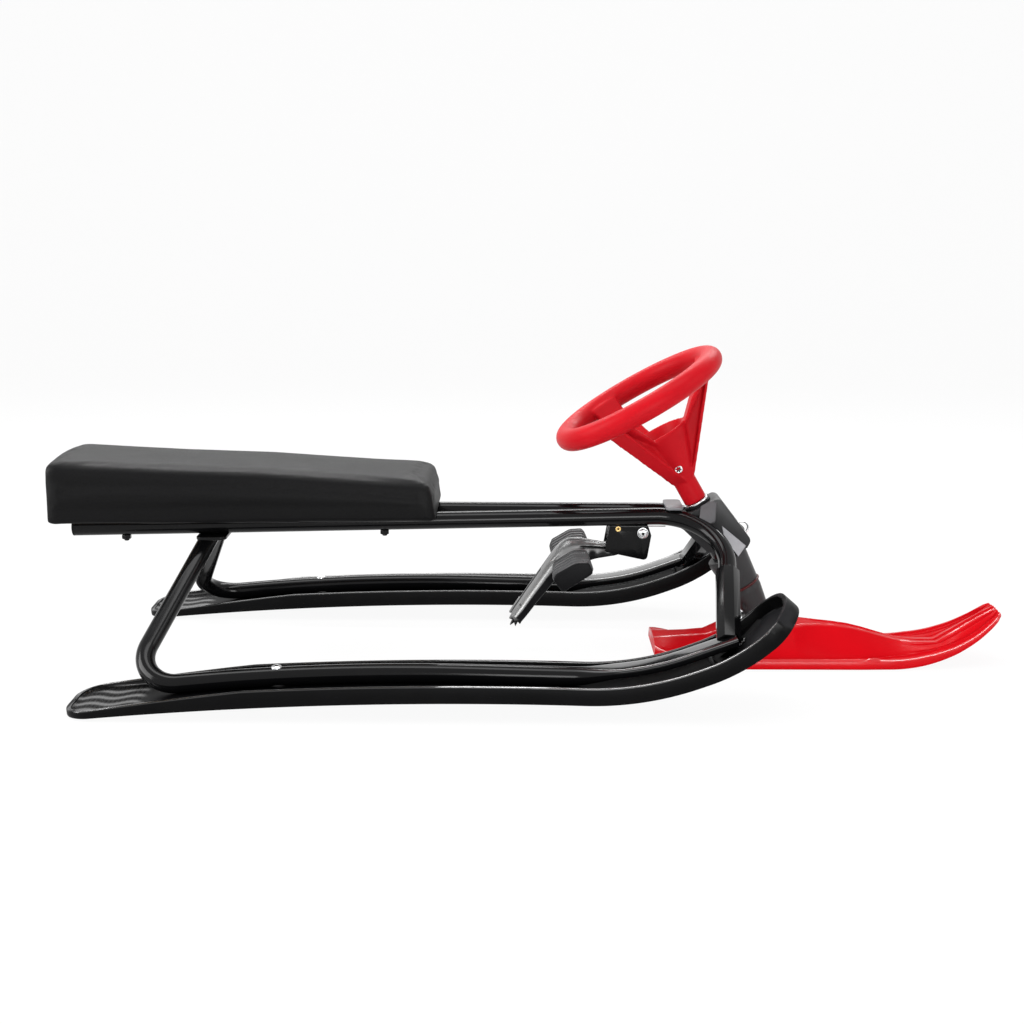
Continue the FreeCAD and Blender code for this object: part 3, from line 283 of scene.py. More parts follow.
def moulded(name, roughness, grain, scale, tones, specular, ribs=False, shine=None):
    """Moulded plastic: a fine spark grain over slow changes of gloss, and a few scuffs along the travel.

    Where a mesh marks it, a polished coat with the roughness and the index of shine lies on top.
    """
    look = Finish(name)
    spark = look.cells(scale) + 0.6 * look.noise(scale * 1.7, 2)
    patch = look.noise(22, 4, 0.55)
    scuff = look.noise(260, 2, 0.5, look.stretched((0.04, 1, 1))).above(0.62, 0.78)
    normal = look.bump(spark, grain, 0.25)
    tone = look.mix(patch.above(0.25, 0.8), tint(name, tones[0]), tint(name, tones[1]))
    if ribs:
        wave = look.waves(bands_direction="X", wave_profile="TRI", scale=58.0, distortion=0.6,
                          detail_scale=40.0)
        normal = look.bump(wave * look.marked("tread"), 0.75, 0.9, normal)
        # Painted highlight: the marked floor of the shovel is 2.4 times lighter.
        tone = look.mix(look.marked("bowl"), tone, tint(name, 2.4))
    if shine:
        look.shade(coat_weight=look.marked("shine"), coat_roughness=shine[0], coat_ior=shine[1])
    return look.shade(
        base_color=tone, roughness=roughness + 0.1 * patch + 0.07 * scuff, normal=normal,
        specular_ior_level=specular)


def ski_plastic(name):
    """Ribbed on the decks, with polished rims and tails, and a painted highlight on the floor of the shovel."""
    return moulded(name, roughness=0.38, grain=0.05, scale=1900, tones=(0.36, 0.54), specular=0.05, ribs=True,
                   shine=(0.16, 1.8))


def red_gloss(name):
    """The front ski, polished along its edges."""
    return moulded(name, roughness=0.24, grain=0.02, scale=1500, tones=(0.88, 0.95), specular=0.012,
                   shine=(0.2, 1.5))


def red_satin(name):
    return moulded(name, roughness=0.36, grain=0.08, scale=1500, tones=(0.8, 0.9), specular=0.06)


def brake_gloss(name):
    """Polished on its round upper side, plain below."""
    return moulded(name, roughness=0.3, grain=0.03, scale=1500, tones=(0.42, 0.66), specular=0.08,
                   shine=(0.42, 3.0))


def soft_black(name):
    return moulded(name, roughness=0.46, grain=0.1, scale=1600, tones=(0.42, 0.64), specular=0.08)


def stem_satin(name):
    return moulded(name, roughness=0.34, grain=0.06, scale=1500, tones=(1.0, 1.25), specular=0.2)


def tread_rubber(name):
    """Ribbed rubber, chalky on its high places."""
    look = Finish(name)
    stipple = look.noise(1300, 3, 0.7)
    chalk = look.noise(45, 5, 0.65).above(0.35, 0.8)
    return look.shade(
        base_color=look.mix(chalk, tint(name, 1.6), tint(name, 2.6)), roughness=0.5 + 0.15 * chalk,
        normal=look.bump(stipple, 0.3, 0.3), specular_ior_level=0.25)


def grained_vinyl(name):
    """Upholstery vinyl: small closed pebbles between fine creases, which are darkened as painted shade, and worn
    to a sheen in the middle.
    """
    look = Finish(name)
    wander = look.noise(300, 2)
    pebble = look.cells(620, "DISTANCE_TO_EDGE").above(0.0, 0.22)
    fine = look.cells(1500, "DISTANCE_TO_EDGE").above(0.0, 0.2)
    worn = look.noise(7, 4, 0.6)
    height = 0.7 * pebble + 0.3 * fine + 0.3 * wander
    # The colour is darker in the creases between the pebbles: painted shade.
    return look.shade(
        base_color=look.mix(pebble * (0.6 + 0.4 * worn), tint(name, 0.15), tint(name, 0.45)),
        roughness=0.5 - 0.1 * worn + 0.08 * wander,
        normal=look.bump(height, 0.2, 0.3), specular_ior_level=0.1)


def plywood(name):
    """Birch plywood: long grain along the seat and darker plies on its edges."""
    look = Finish(name)
    grain = look.noise(60, 6, 0.65, look.stretched((0.08, 1.6, 1.0)))
    pore = look.noise(900, 2, 0.6, look.stretched((0.05, 1, 1))).above(0.6, 0.75)
    ply = look.waves(bands_direction="Z", wave_profile="SIN", scale=95.0, distortion=0.4)
    return look.shade(
        base_color=look.mix(0.55 * grain + 0.3 * ply, tint(name, 1.15), tint(name, 0.5)),
        roughness=0.6 + 0.2 * pore, normal=look.bump(grain - pore, 0.15, 0.4))


def plated(name, roughness, streak):
    """Bright plated steel with fine turned marks, a few dull spots, and painted shade in its recesses, near black
    and not metallic.
    """
    look = Finish(name)
    marks = look.noise(2600, 2, 0.5, look.stretched((1, 0.3, 1)))
    spots = look.noise(240, 4, 0.7).above(0.55, 0.75)
    tone = look.noise(60, 2)
    open_metal = look.mix(0.7 * spots + 0.3 * tone, tint(name), tint(name, 0.72))
    # Painted shade: the marked recesses are near black.
    recess = look.marked("recess")
    return look.shade(
        base_color=look.mix(recess, open_metal, tint(name, 0.02)), metallic=1.0 - recess,
        roughness=roughness + 0.1 * marks + 0.16 * spots, normal=look.bump(marks, streak, 0.1))


def bright_plate(name):
    return plated(name, roughness=0.22, streak=0.1)


def spring_wire(name):
    return plated(name, roughness=0.3, streak=0.15)


FINISH_MAKERS = {
    "frame_paint": gloss_paint,
    "head_paint": satin_paint,
    "ski_plastic": ski_plastic,
    "seat_vinyl": grained_vinyl,
    "seat_wood": plywood,
    "red_plastic": red_gloss,
    "wheel_plastic": red_satin,
    "zinc_steel": bright_plate,
    "spring_steel": spring_wire,
    "brass": bright_plate,
    "brake_plastic": brake_gloss,
    "pedal_rubber": tread_rubber,
    "cap_plastic": soft_black,
    "stem_plastic": stem_satin,
    "bush_nylon": soft_black,
    "bare_panel": bare_panel,
    "bright_panel": bright_panel,
    "grey_facet": grey_facet,
    "wine_seam": wine_seam,
}


# Meshes

def smooth_over(mesh, sharp):
    """Smooth shading, broken where faces meet at more than an angle in degrees."""
    for face in mesh.polygons:
        face.use_smooth = True
    mesh.set_sharp_from_angle(angle=math.radians(sharp))


def place_piece(name, mesh, body, slot, stands_for=(), look=None):
    """Puts a finished mesh in the scene on its body, with the finish of its slot or a look of its own."""
    mesh.materials.clear()
    mesh.materials.append(finish_of(look or slot))
    piece = loose_object(name, mesh)
    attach(piece, body)
    if stands_for:
        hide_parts(*stands_for)
    return piece


def finish_node(node, ending, mesh, look=None):
    """Places the mesh that stands for a node, on the node's own body and with its slot."""
    place_piece(f"{node}_{ending}", mesh, BODIES[node], SLOTS[node], (node,), look)


def to_mesh(name, form, sharp, turn_out=True):
    """A mesh in metres from a bmesh in millimetres, which is used up."""
    bmesh.ops.remove_doubles(form, verts=form.verts, dist=1e-4)
    if turn_out:
        bmesh.ops.recalc_face_normals(form, faces=form.faces)
    bmesh.ops.scale(form, vec=(MM, MM, MM), verts=form.verts)
    mesh = plain_mesh(name, form)
    smooth_over(mesh, sharp)
    return mesh


def mark(mesh, name, rule):
    """Marks the points of a mesh with an attribute; rule(point, normal) gives it, from millimetres."""
    zone = mesh.attributes.new(name, "FLOAT", "POINT")
    for vertex, item in zip(mesh.vertices, zone.data):
        item.value = rule(vertex.co / MM, vertex.normal)


def skin(form, rows, closed=True, caps=True):
    """Faces between rows of points; a closed row runs round, and caps shut the first and the last row."""
    rings = [[form.verts.new(point) for point in row] for row in rows]
    count = len(rings[0])
    for low, high in zip(rings, rings[1:]):
        for index in range(count if closed else count - 1):
            after = (index + 1) % count
            form.faces.new((low[index], low[after], high[after], high[index]))
    if caps:
        form.faces.new(list(reversed(rings[0])))
        form.faces.new(rings[-1])


def skinned(name, rows, sharp):
    """A mesh of closed rows of points."""
    form = bmesh.new()
    skin(form, rows)
    return to_mesh(name, form, sharp)


def mirror(form):
    """Mirrors a bmesh across the middle of the sled."""
    bmesh.ops.scale(form, vec=(1, -1, 1), verts=form.verts)
    bmesh.ops.reverse_faces(form, faces=form.faces)


def evaluated_mesh(piece):
    """What the modifiers of an object make of its mesh; they are then removed."""
    bpy.context.view_layer.update()
    graph = bpy.context.evaluated_depsgraph_get()
    mesh = bpy.data.meshes.new_from_object(piece.evaluated_get(graph))
    piece.modifiers.clear()
    return mesh


def loose_object(name, data):
    """A new object in the scene."""
    made = bpy.data.objects.new(name, data)
    bpy.context.scene.collection.objects.link(made)
    return made


def drop_object(helper):
    """Removes a helper, and its mesh where nothing else uses it."""
    mesh = helper.data
    bpy.data.objects.remove(helper)
    if mesh is not None and mesh.users == 0:
        bpy.data.meshes.remove(mesh)


def settled(helper, sharp):
    """The mesh that a helper's modifiers make, shaded smooth; the helper is removed."""
    made = evaluated_mesh(helper)
    drop_object(helper)
    smooth_over(made, sharp)
    return made


def add_modifier(piece, kind, **settings):
    """Adds a modifier of a kind with its settings."""
    modifier = piece.modifiers.new(kind.lower(), kind)
    for key, value in settings.items():
        setattr(modifier, key, value)


def solid_form(node):
    """A bmesh of a solid, in metres, with its faces joined."""
    form = bmesh.new()
    form.from_mesh(frame["nodes"][node].data)
    bmesh.ops.remove_doubles(form, verts=form.verts, dist=1e-5)
    return form


def plain_mesh(name, form):
    """A mesh of a bmesh, which is used up."""
    mesh = bpy.data.meshes.new(name)
    form.to_mesh(mesh)
    form.free()
    return mesh


def softened(node, width, look=None, trim=None):
    """A copy of a solid with its edges rounded, standing for it; trim is a plane that cuts it off."""
    sharp = 32
    form = solid_form(node)
    if trim:
        everything = form.verts[:] + form.edges[:] + form.faces[:]
        place, beyond = trim
        bmesh.ops.bisect_plane(form, geom=everything, plane_co=place * MM, plane_no=beyond, clear_outer=True)
        bmesh.ops.holes_fill(form, edges=form.edges[:], sides=0)
    bmesh.ops.dissolve_limit(form, angle_limit=math.radians(0.4), verts=form.verts, edges=form.edges)
    helper = loose_object(node + "_helper", plain_mesh(node + "_round", form))
    add_modifier(helper, "BEVEL", width=width * MM, segments=3, limit_method="ANGLE",
                 angle_limit=math.radians(sharp), use_clamp_overlap=True)
    finish_node(node, "finished", settled(helper, sharp), look)


def corner_arc(before, point, after, radius, step):
    """Points of the arc that rounds a corner."""
    before, point, after = Vector(before), Vector(point), Vector(after)
    arrive = (point - before).normalized()
    leave = (after - point).normalized()
    turn = arrive.angle(leave)
    start = point - arrive * (radius * math.tan(turn / 2))
    inward = (leave - arrive * leave.dot(arrive)).normalized()
    count = max(3, int(radius * turn / step))
    points = []
    for number in range(count + 1):
        angle = turn * number / count
        points.append(start + arrive * (radius * math.sin(angle)) + inward * (radius * (1 - math.cos(angle))))
    return points


def rounded(corners, step=4.0):
    """Points along straight runs and tangent arcs; corners are (point, radius)."""
    points = []
    last = len(corners) - 1
    for index, (point, radius) in enumerate(corners):
        if radius == 0 or index in (0, last):
            points.append(Vector(point))
        else:
            points += corner_arc(corners[index - 1][0], point, corners[index + 1][0], radius, step)
    dense = [points[0]]
    for point in points[1:]:
        gap = (point - dense[-1]).length
        if gap < 1e-6:
            continue
        start = dense[-1].copy()
        steps = max(1, int(gap / (step * 2)))
        dense += [start.lerp(point, number / steps) for number in range(1, steps + 1)]
    return dense


def carried(path, across, section):
    """Rings of a section carried along a path without twist; section(index, point) gives (side, up) pairs."""
    rows = []
    total = len(path) - 1
    side = Vector(across)
    for index, point in enumerate(path):
        along = (path[min(index + 1, total)] - path[max(index - 1, 0)]).normalized()
        side = (side - along * side.dot(along)).normalized()
        up = along.cross(side)
        rows.append([point + side * a + up * b for a, b in section(index, point)])
    return rows


def round_steps(count):
    """Cosine and sine of even steps round a circle."""
    return [(math.cos(math.tau * k / count), math.sin(math.tau * k / count)) for k in range(count)]


def circle(radius, count):
    return [(radius * c, radius * s) for c, s in round_steps(count)]


def ring(height, count, reach):
    """A level ring of points about Z; reach(angle) gives its radius."""
    points = []
    for k in range(count):
        angle = math.tau * k / count
        points.append(Vector((reach(angle) * math.cos(angle), reach(angle) * math.sin(angle), height)))
    return points


def lathe(form, profile, count=48, flats=None):
    """A turned form about Z from (radius, height); flats(angle) may cut the radius down."""
    rows = []
    for radius, height in profile:
        rows.append(ring(height, count, lambda angle: min(radius, flats(angle)) if flats else radius))
    skin(form, rows)


def ease(share):
    """0 below 0, 1 above 1, smooth between."""
    share = min(1.0, max(0.0, share))
    return share * share * (3 - 2 * share)


def fade(value, start, run):
    """0 up to a start, then smoothly to 1 over a run; a run below 0 counts backwards."""
    return ease((value - start) / run)


def hump(value, middle, reach):
    """1 in the middle, smoothly down to 0 at a reach from it."""
    return ease(1 - abs(value - middle) / reach)


def table_value(rows, x, column=1):
    """A value between the rows of a small table, straight from row to row."""
    if x <= rows[0][0]:
        return rows[0][column]
    for low, high in zip(rows, rows[1:]):
        if x <= high[0]:
            share = (x - low[0]) / (high[0] - low[0])
            return low[column] + (high[column] - low[column]) * share
    return rows[-1][column]


# Geometry node trees

def group_tree(name, sockets):
    """An empty geometry tree with named inputs, and the outputs of its input node."""
    tree = bpy.data.node_groups.new(name, "GeometryNodeTree")
    tree.interface.new_socket("Geometry", in_out="INPUT", socket_type="NodeSocketGeometry")
    for label, kind in sockets:
        tree.interface.new_socket(label, in_out="INPUT", socket_type=kind)
    tree.interface.new_socket("Geometry", in_out="OUTPUT", socket_type="NodeSocketGeometry")
    return tree, add_node(tree, "NodeGroupInput").outputs


def close_tree(tree, geometry, given):
    """Makes the geometry real, gives it its material and leads it out."""
    real = add_node(tree, "GeometryNodeRealizeInstances", {}, {"Geometry": geometry})
    painted = add_node(tree, "GeometryNodeSetMaterial", {},
                       {"Geometry": real.outputs[0], "Material": given["Material"]})
    out = add_node(tree, "NodeGroupOutput")
    tree.links.new(painted.outputs[0], out.inputs[0])
    return tree


def wire_tree():
    """A round wire along the edges of a mesh."""
    tree, given = group_tree("wire_along_edges", [
        ("Wire Radius", "NodeSocketFloat"), ("Sides", "NodeSocketInt"), ("Material", "NodeSocketMaterial")])
    line = add_node(tree, "GeometryNodeMeshToCurve", {}, {"Mesh": given["Geometry"]})
    ring = add_node(tree, "GeometryNodeCurvePrimitiveCircle", {},
                    {"Radius": given["Wire Radius"], "Resolution": given["Sides"]})
    body = add_node(tree, "GeometryNodeCurveToMesh", {},
                    {"Curve": line.outputs[0], "Profile Curve": ring.outputs[0], "Fill Caps": True})
    soft = add_node(tree, "GeometryNodeSetShadeSmooth", {}, {"Geometry": body.outputs[0]})
    return close_tree(tree, soft.outputs[0], given)


def rib_tree():
    """One rib repeated along a line at an even pitch."""
    tree, given = group_tree("ribs_at_pitch", [
        ("Rib Count", "NodeSocketInt"), ("Rib Pitch", "NodeSocketFloat"), ("Material", "NodeSocketMaterial")])
    step = add_node(tree, "ShaderNodeCombineXYZ", {}, {"Y": given["Rib Pitch"]})
    line = add_node(tree, "GeometryNodeMeshLine", {"mode": "OFFSET"},
                    {"Count": given["Rib Count"], "Offset": step.outputs[0]})
    ribs = add_node(tree, "GeometryNodeInstanceOnPoints", {},
                    {"Points": line.outputs[0], "Instance": given["Geometry"]})
    return close_tree(tree, ribs.outputs[0], given)


def fastener_tree():
    """A fastener set on every point, along the point's own axis."""
    tree, given = group_tree("fasteners_on_points", [
        ("Fastener", "NodeSocketObject"), ("Size", "NodeSocketFloat"), ("Material", "NodeSocketMaterial")])
    shape = add_node(tree, "GeometryNodeObjectInfo", {}, {"Object": given["Fastener"]})
    axis = add_node(tree, "GeometryNodeInputNamedAttribute", {"data_type": "FLOAT_VECTOR"}, {"Name": "axis"})
    turn = add_node(tree, "FunctionNodeAlignRotationToVector", {"axis": "Z"}, {"Vector": axis.outputs[0]})
    made = add_node(tree, "GeometryNodeInstanceOnPoints", {},
                    {"Points": given["Geometry"], "Instance": shape.outputs["Geometry"],
                     "Rotation": turn.outputs[0], "Scale": given["Size"]})
    return close_tree(tree, made.outputs[0], given)


TREES = {}


def through_tree(name, maker, mesh, values):
    """Runs a mesh through a geometry tree and returns the plain mesh that comes out."""
    if name not in TREES:
        TREES[name] = maker()
    tree = TREES[name]
    helper = loose_object(name + "_helper", mesh)
    modifier = helper.modifiers.new(name, "NODES")
    modifier.node_group = tree
    for item in tree.interface.items_tree:
        if item.in_out == "INPUT" and item.name in values:
            modifier[item.identifier] = values[item.name]
    helper.update_tag()
    made = evaluated_mesh(helper)
    drop_object(helper)
    if not made.polygons:
        raise RuntimeError(f"{name} made nothing")
    return made


def wire_mesh(name, lines, radius, slot, sides=14):
    """Round wires along lines of points in millimetres; a line marked closed runs round."""
    points = []
    edges = []
    for line, closed in lines:
        first = len(points)
        points += [Vector(point) * MM for point in line]
        count = len(line)
        edges += [(first + k, first + (k + 1) % count) for k in range(count if closed else count - 1)]
    mesh = bpy.data.meshes.new(name)
    mesh.from_pydata(points, edges, [])
    made = through_tree("wire_along_edges", wire_tree, mesh, {
        "Wire Radius": radius * MM, "Sides": sides, "Material": finish_of(slot)})
    form = bmesh.new()
    form.from_mesh(made)
    bmesh.ops.recalc_face_normals(form, faces=form.faces)
    form.to_mesh(made)
    form.free()
    smooth_over(made, 50)
    return made


def fastener_mesh(name, seats, shape, slot):
    """Like fasteners on seats given as (point, axis) in millimetres."""
    mesh = bpy.data.meshes.new(name)
    mesh.from_pydata([Vector(point) * MM for point, axis in seats], [], [])
    axes = mesh.attributes.new("axis", "FLOAT_VECTOR", "POINT")
    for item, (point, axis) in zip(axes.data, seats):
        item.vector = axis
    pattern = loose_object(name + "_pattern", shape)
    made = through_tree("fasteners_on_points", fastener_tree, mesh, {
        "Fastener": pattern, "Size": 1.0, "Material": finish_of(slot)})
    drop_object(pattern)
    smooth_over(made, 35)
    return made


# Lines of the sled, repeated from its solids

def offset_line(corners, distance):
    """A flat line moved to its left, with its arcs kept concentric."""
    moved = []
    last = len(corners) - 1
    for index, (x, z, radius) in enumerate(corners):
        before = after = None
        if index > 0:
            before = Vector((x - corners[index - 1][0], z - corners[index - 1][1])).normalized()
        if index < last:
            after = Vector((corners[index + 1][0] - x, corners[index + 1][1] - z)).normalized()
        arrive = before or after
        leave = after or before
        normal_in = Vector((-arrive.y, arrive.x))
        normal_out = Vector((-leave.y, leave.x))
        shift = (normal_in + normal_out) * (distance / (1 + normal_in.dot(normal_out)))
        turn = arrive.x * leave.y - arrive.y * leave.x
        kept = radius - math.copysign(distance, turn) if radius else 0
        moved.append((x + shift.x, z + shift.y, kept))
    return moved


def on_run(corners, index, x):
    """Height of one straight run of a flat line at x."""
    start, end = corners[index], corners[index + 1]
    share = (x - start[0]) / (end[0] - start[0])
    return start[1] + (end[1] - start[1]) * share


def line_points(corners, y, step):
    """Points along a flat line that stands at y."""
    return rounded([((x, y, z), radius) for x, z, radius in corners], step)


def both_sides(right):
    """A closed row of (y, height) from its right half, which runs from middle to middle."""
    return right + [(-y, height) for y, height in reversed(right[1:-1])]


def height_on(points, x):
    """Height of a line of points at x."""
    for low, high in zip(points, points[1:]):
        if low.x <= x <= high.x:
            return low.z + (high.z - low.z) * (x - low.x) / max(high.x - low.x, 1e-9)
    return points[-1].z if x > points[-1].x else points[0].z


SKI_Y = 200.0
SKI_BOLT_X = -287
SOLE = [(-518, 0, 0), (-225, 27, 4600), (120, 17.8, 340), (243, 62.4, 215), (292, 119, 0)]
DECK_TOE = offset_line(SOLE, 7)
DECK = [(-518, 5, 0), (-225, 32, 2600), DECK_TOE[2], (237, on_run(DECK_TOE, 2, 237), 85)]
RAIL = offset_line(DECK, 11.2)
TILT = math.radians(0.59)
MAIN_HEIGHT = 179.45
# Where the main tubes end at the rear and where they bend down, and half their distance there
REAR_X, REAR_HALF = -547, 53
BEND_X, BEND_HALF = 237, 10


def on_level(x, y, z):
    """A point measured in the sloping plane of the main tubes."""
    return Vector((x * math.cos(TILT) - z * math.sin(TILT), y,
                   MAIN_HEIGHT + x * math.sin(TILT) + z * math.cos(TILT)))


def main_half(x):
    """Half the distance between the main tubes."""
    return REAR_HALF + (BEND_HALF - REAR_HALF) * (x - REAR_X) / (BEND_X - REAR_X)


MAIN_REAR = on_level(REAR_X, -REAR_HALF, 0)
MAIN_CORNER = on_level(BEND_X, -BEND_HALF, 0)
POST_FOOT = Vector((217, -SKI_Y, on_run(RAIL, 2, 217)))
POST_RISE = (MAIN_CORNER - POST_FOOT).normalized()
LEG_TOP = on_level(-389, -30, -14.5)
HOOP = Vector((-458, -SKI_Y, on_run(RAIL, 0, -458)))
LEG = (LEG_TOP - HOOP).normalized()
AXIS_FOOT = Vector(STEERING["pos_m"]) / MM
AXIS_UP = Vector(STEERING["axis"]).normalized()
AXIS_OUT = Vector((AXIS_UP.z, 0, -AXIS_UP.x))
PIVOT = Vector(BRAKE["pos_m"]) / MM


def on_axis(out, across, up):
    """A point measured from the steering axis where it meets the ground."""
    return AXIS_FOOT + AXIS_OUT * out + Vector((0, across, 0)) + AXIS_UP * up


# Rear skis

# Rounding of the outline at both ends, and the wall's height at the tail and the run to its full height
TAIL_CORNER, TIP_CORNER = 32, 46
TAIL_WALL, WALL_RUN = 7.5, 200
# Where the deck's own line ends, and the thickness of the floor beyond it and at the least
DECK_END, TOE_FLOOR, LEAST_FLOOR = 225, 7.0, 3.2
# Even sections along the ski, and the distances of closer ones from both ends
SKI_STEPS = 330
END_STEPS = (0.15, 0.5, 1, 1.8, 2.8, 4, 5.5, 7.5, 10)
TREAD_PITCH = 17.0
RIM_EDGE = 43.5


def end_half(distance, corner, half):
    """Half width at a distance from a rounded end."""
    if distance <= 0:
        return max(half - corner, 0.5)
    if distance >= corner:
        return half
    return half - corner + math.sqrt(corner ** 2 - (corner - distance) ** 2)


def ski_half(station, from_tip, inset):
    """Half width of a rear ski's outline, moved inwards."""
    half = size("ski_half_width") - inset
    return min(end_half(station - inset, TAIL_CORNER - inset, half),
               end_half(from_tip - inset, TIP_CORNER - inset, half))


def ski_rows():
    """Sections across a rear ski, square to its sole, from tail to tip."""
    side, rim = size("ski_side"), size("ski_rim")
    sole = line_points(SOLE, 0, 1.2)
    travel = [0.0]
    for low, high in zip(sole, sole[1:]):
        travel.append(travel[-1] + (high - low).length)
    total = travel[-1]
    deck = line_points(DECK, 0, 2.0)
    stations = [total * k / SKI_STEPS for k in range(SKI_STEPS + 1)]
    for edge in END_STEPS:
        stations += [edge, total - edge]
    rows = []
    marker = 0
    for station in sorted(stations):
        while marker < len(travel) - 2 and travel[marker + 1] < station:
            marker += 1
        share = (station - travel[marker]) / (travel[marker + 1] - travel[marker])
        point = sole[marker].lerp(sole[marker + 1], share)
        along = (sole[marker + 1] - sole[marker]).normalized()
        up = Vector((-along.z, 0, along.x))
        from_tip = total - station
        outer = ski_half(station, from_tip, 0)
        inner = 0.4 if station < rim or from_tip < rim else ski_half(station, from_tip, rim)
        wall = TAIL_WALL + (side - TAIL_WALL) * min(1.0, station / WALL_RUN)
        floor = height_on(deck, point.x) - point.z if point.x < DECK_END else TOE_FLOOR
        floor = max(LEAST_FLOOR, floor * max(0.35, along.x))
        floor += (wall - floor) * (1 - ease(min(station, from_tip - 1) / (rim * 1.9)))
        section = ski_section(outer, min(inner, outer - 1.5), wall, floor, station, from_tip)
        rows.append([point + up * height + Vector((0, y, 0)) for y, height in section])
    return rows


def shovel_half(from_tip):
    """Half width of the bowl in the shovel, which widens towards the tip."""
    return (104 - from_tip) / 62 * 44


def deck_relief(y, station, from_tip):
    """Height of the tread and of the bowl's edge above the deck."""
    bed = fade(y, 15, 5)
    open_deck = fade(station, 60, 60) * fade(from_tip, 120, 30)
    ripple = (0.5 + 0.5 * math.sin((station + 0.9 * y) * math.tau / TREAD_PITCH)) ** 3
    spread = shovel_half(from_tip)
    bowl = fade(from_tip, 8, 12)
    bank = 3.4 * bowl * fade(from_tip, 118, -14) * (1 - fade(y, spread, -4.5))
    bead = 0.9 * bowl * hump(spread, y, 3.0)
    return size("tread_height") * bed * open_deck * ripple + bank + bead


def ski_section(outer, inner, wall, floor, station, from_tip):
    """One closed section as (y, height): flat sole, outer walls, rims and the rippled deck."""
    shoulder = min(1.6, outer * 0.2)
    rim_in = max(inner, 0.3)
    drop = wall - floor
    right = [(outer * share, 0.0) for share in (0.0, 0.3, 0.36, 0.62)]
    right += [
        (outer - shoulder * 1.6, 0.0), (outer - shoulder * 0.5, 0.35), (outer - 0.1, shoulder),
        (outer, wall * 0.5), (outer - 0.25, wall - shoulder), (outer - shoulder * 0.55, wall - 0.35),
        (outer - shoulder * 1.5, wall), (min(rim_in + 1.4, outer - shoulder * 1.6), wall),
        (rim_in + 0.35, wall - min(0.5, drop * 0.2)), (rim_in, wall - min(1.6, drop * 0.4)),
        (rim_in * 0.985, floor + min(1.6, drop * 0.25)), (rim_in * 0.95, floor + min(0.4, drop * 0.1)),
    ]
    for y in [rim_in * (0.92 - 0.04 * k) for k in range(24)]:
        right.append((y, min(floor + deck_relief(y, station, from_tip), wall)))
    return both_sides(right)


def tail_share(x):
    """1 on the tail of a rear ski, behind the tube."""
    return fade(x, -432, -12)


def tread_zone(point, normal):
    """The ribbed bands of a deck: all of the tail, and both sides of the tube at the front."""
    y = abs(point.y)
    front = fade(point.x, 20, 25) * fade(point.x, 196, -20) * fade(y, 17, 3)
    inside = fade(y, RIM_EDGE, -1.5)
    return max(tail_share(point.x), front) * inside * (1.0 if normal.z > 0.6 else 0.0)


def ski_shine(point, normal):
    """The polished top of the rim, and the worn ribs of the tail."""
    rim = fade(abs(point.y), RIM_EDGE, 1.0) * fade(normal.z, 0.3, 0.3)
    worn = 0.5 + 0.5 * math.sin(point.y * 0.3 + point.x * 0.04 + 1.2 * math.sin(point.x * 0.13))
    return max(rim, worn ** 2 * tail_share(point.x) * fade(normal.z, 0.5, 0.2))


def bowl_painted_highlight(point, normal):
    """The smooth floor of the shovel where it faces up, which is painted lighter as a painted highlight."""
    y = abs(point.y)
    from_tip = (287 - point.x) * 1.52
    floor = fade(y, shovel_half(from_tip), -4) * fade(y, 44, -2) * fade(from_tip, 6, 6)
    return floor * (1.0 if normal.z > 0.3 else 0.0)


def make_skis():
    rows = ski_rows()
    for side, y in (("right", -SKI_Y), ("left", SKI_Y)):
        middle = Vector((0, y, 0))
        mesh = skinned("ski_" + side, [[point + middle for point in row] for row in rows], 38)
        for name, zone in (("tread", tread_zone), ("bowl", bowl_painted_highlight), ("shine", ski_shine)):
            mark(mesh, name, lambda point, normal: zone(point - middle, normal))
        finish_node("rear_ski_" + side, "moulding", mesh)


# Tubes and welds

TUBE_SIDES = 44
MAIN_BEND, LEG_BEND = 76, 42
RUNNER_END = 228.0
# Points of the leg at the end of a ski tube's path, which stays round
LEG_POINTS = 40


def ski_tube_path():
    corners = [((RUNNER_END, -SKI_Y, on_run(RAIL, 2, RUNNER_END)), 0)]
    for x, z, radius in reversed(RAIL[1:3]):
        corners.append(((x, -SKI_Y, z), radius))
    return rounded(corners + [(tuple(HOOP), LEG_BEND), (tuple(LEG_TOP), 0)], 3.0)


def press_share(x):
    """How far a ski tube is pressed flat: 0 behind, 1 towards its front end."""
    return fade(x, 42, 55)


def pressed_section(x, radius):
    """Section of a ski tube, pressed flat on the deck towards the front, with a dimple at its bolt."""
    press = press_share(x)
    thick = size("pressed_thickness") / 2
    up = radius + (thick - radius) * press
    wide = radius + (radius * 0.42) * press
    flat = 1 - 0.55 * press
    dimple = 1.6 * hump(x, SKI_BOLT_X, 11)
    points = []
    for c, s in round_steps(TUBE_SIDES):
        height = math.copysign(abs(s) ** flat, s) * up - (radius - up)
        points.append((math.copysign(abs(c) ** flat, c) * wide, height - dimple * max(0.0, s)))
    return points


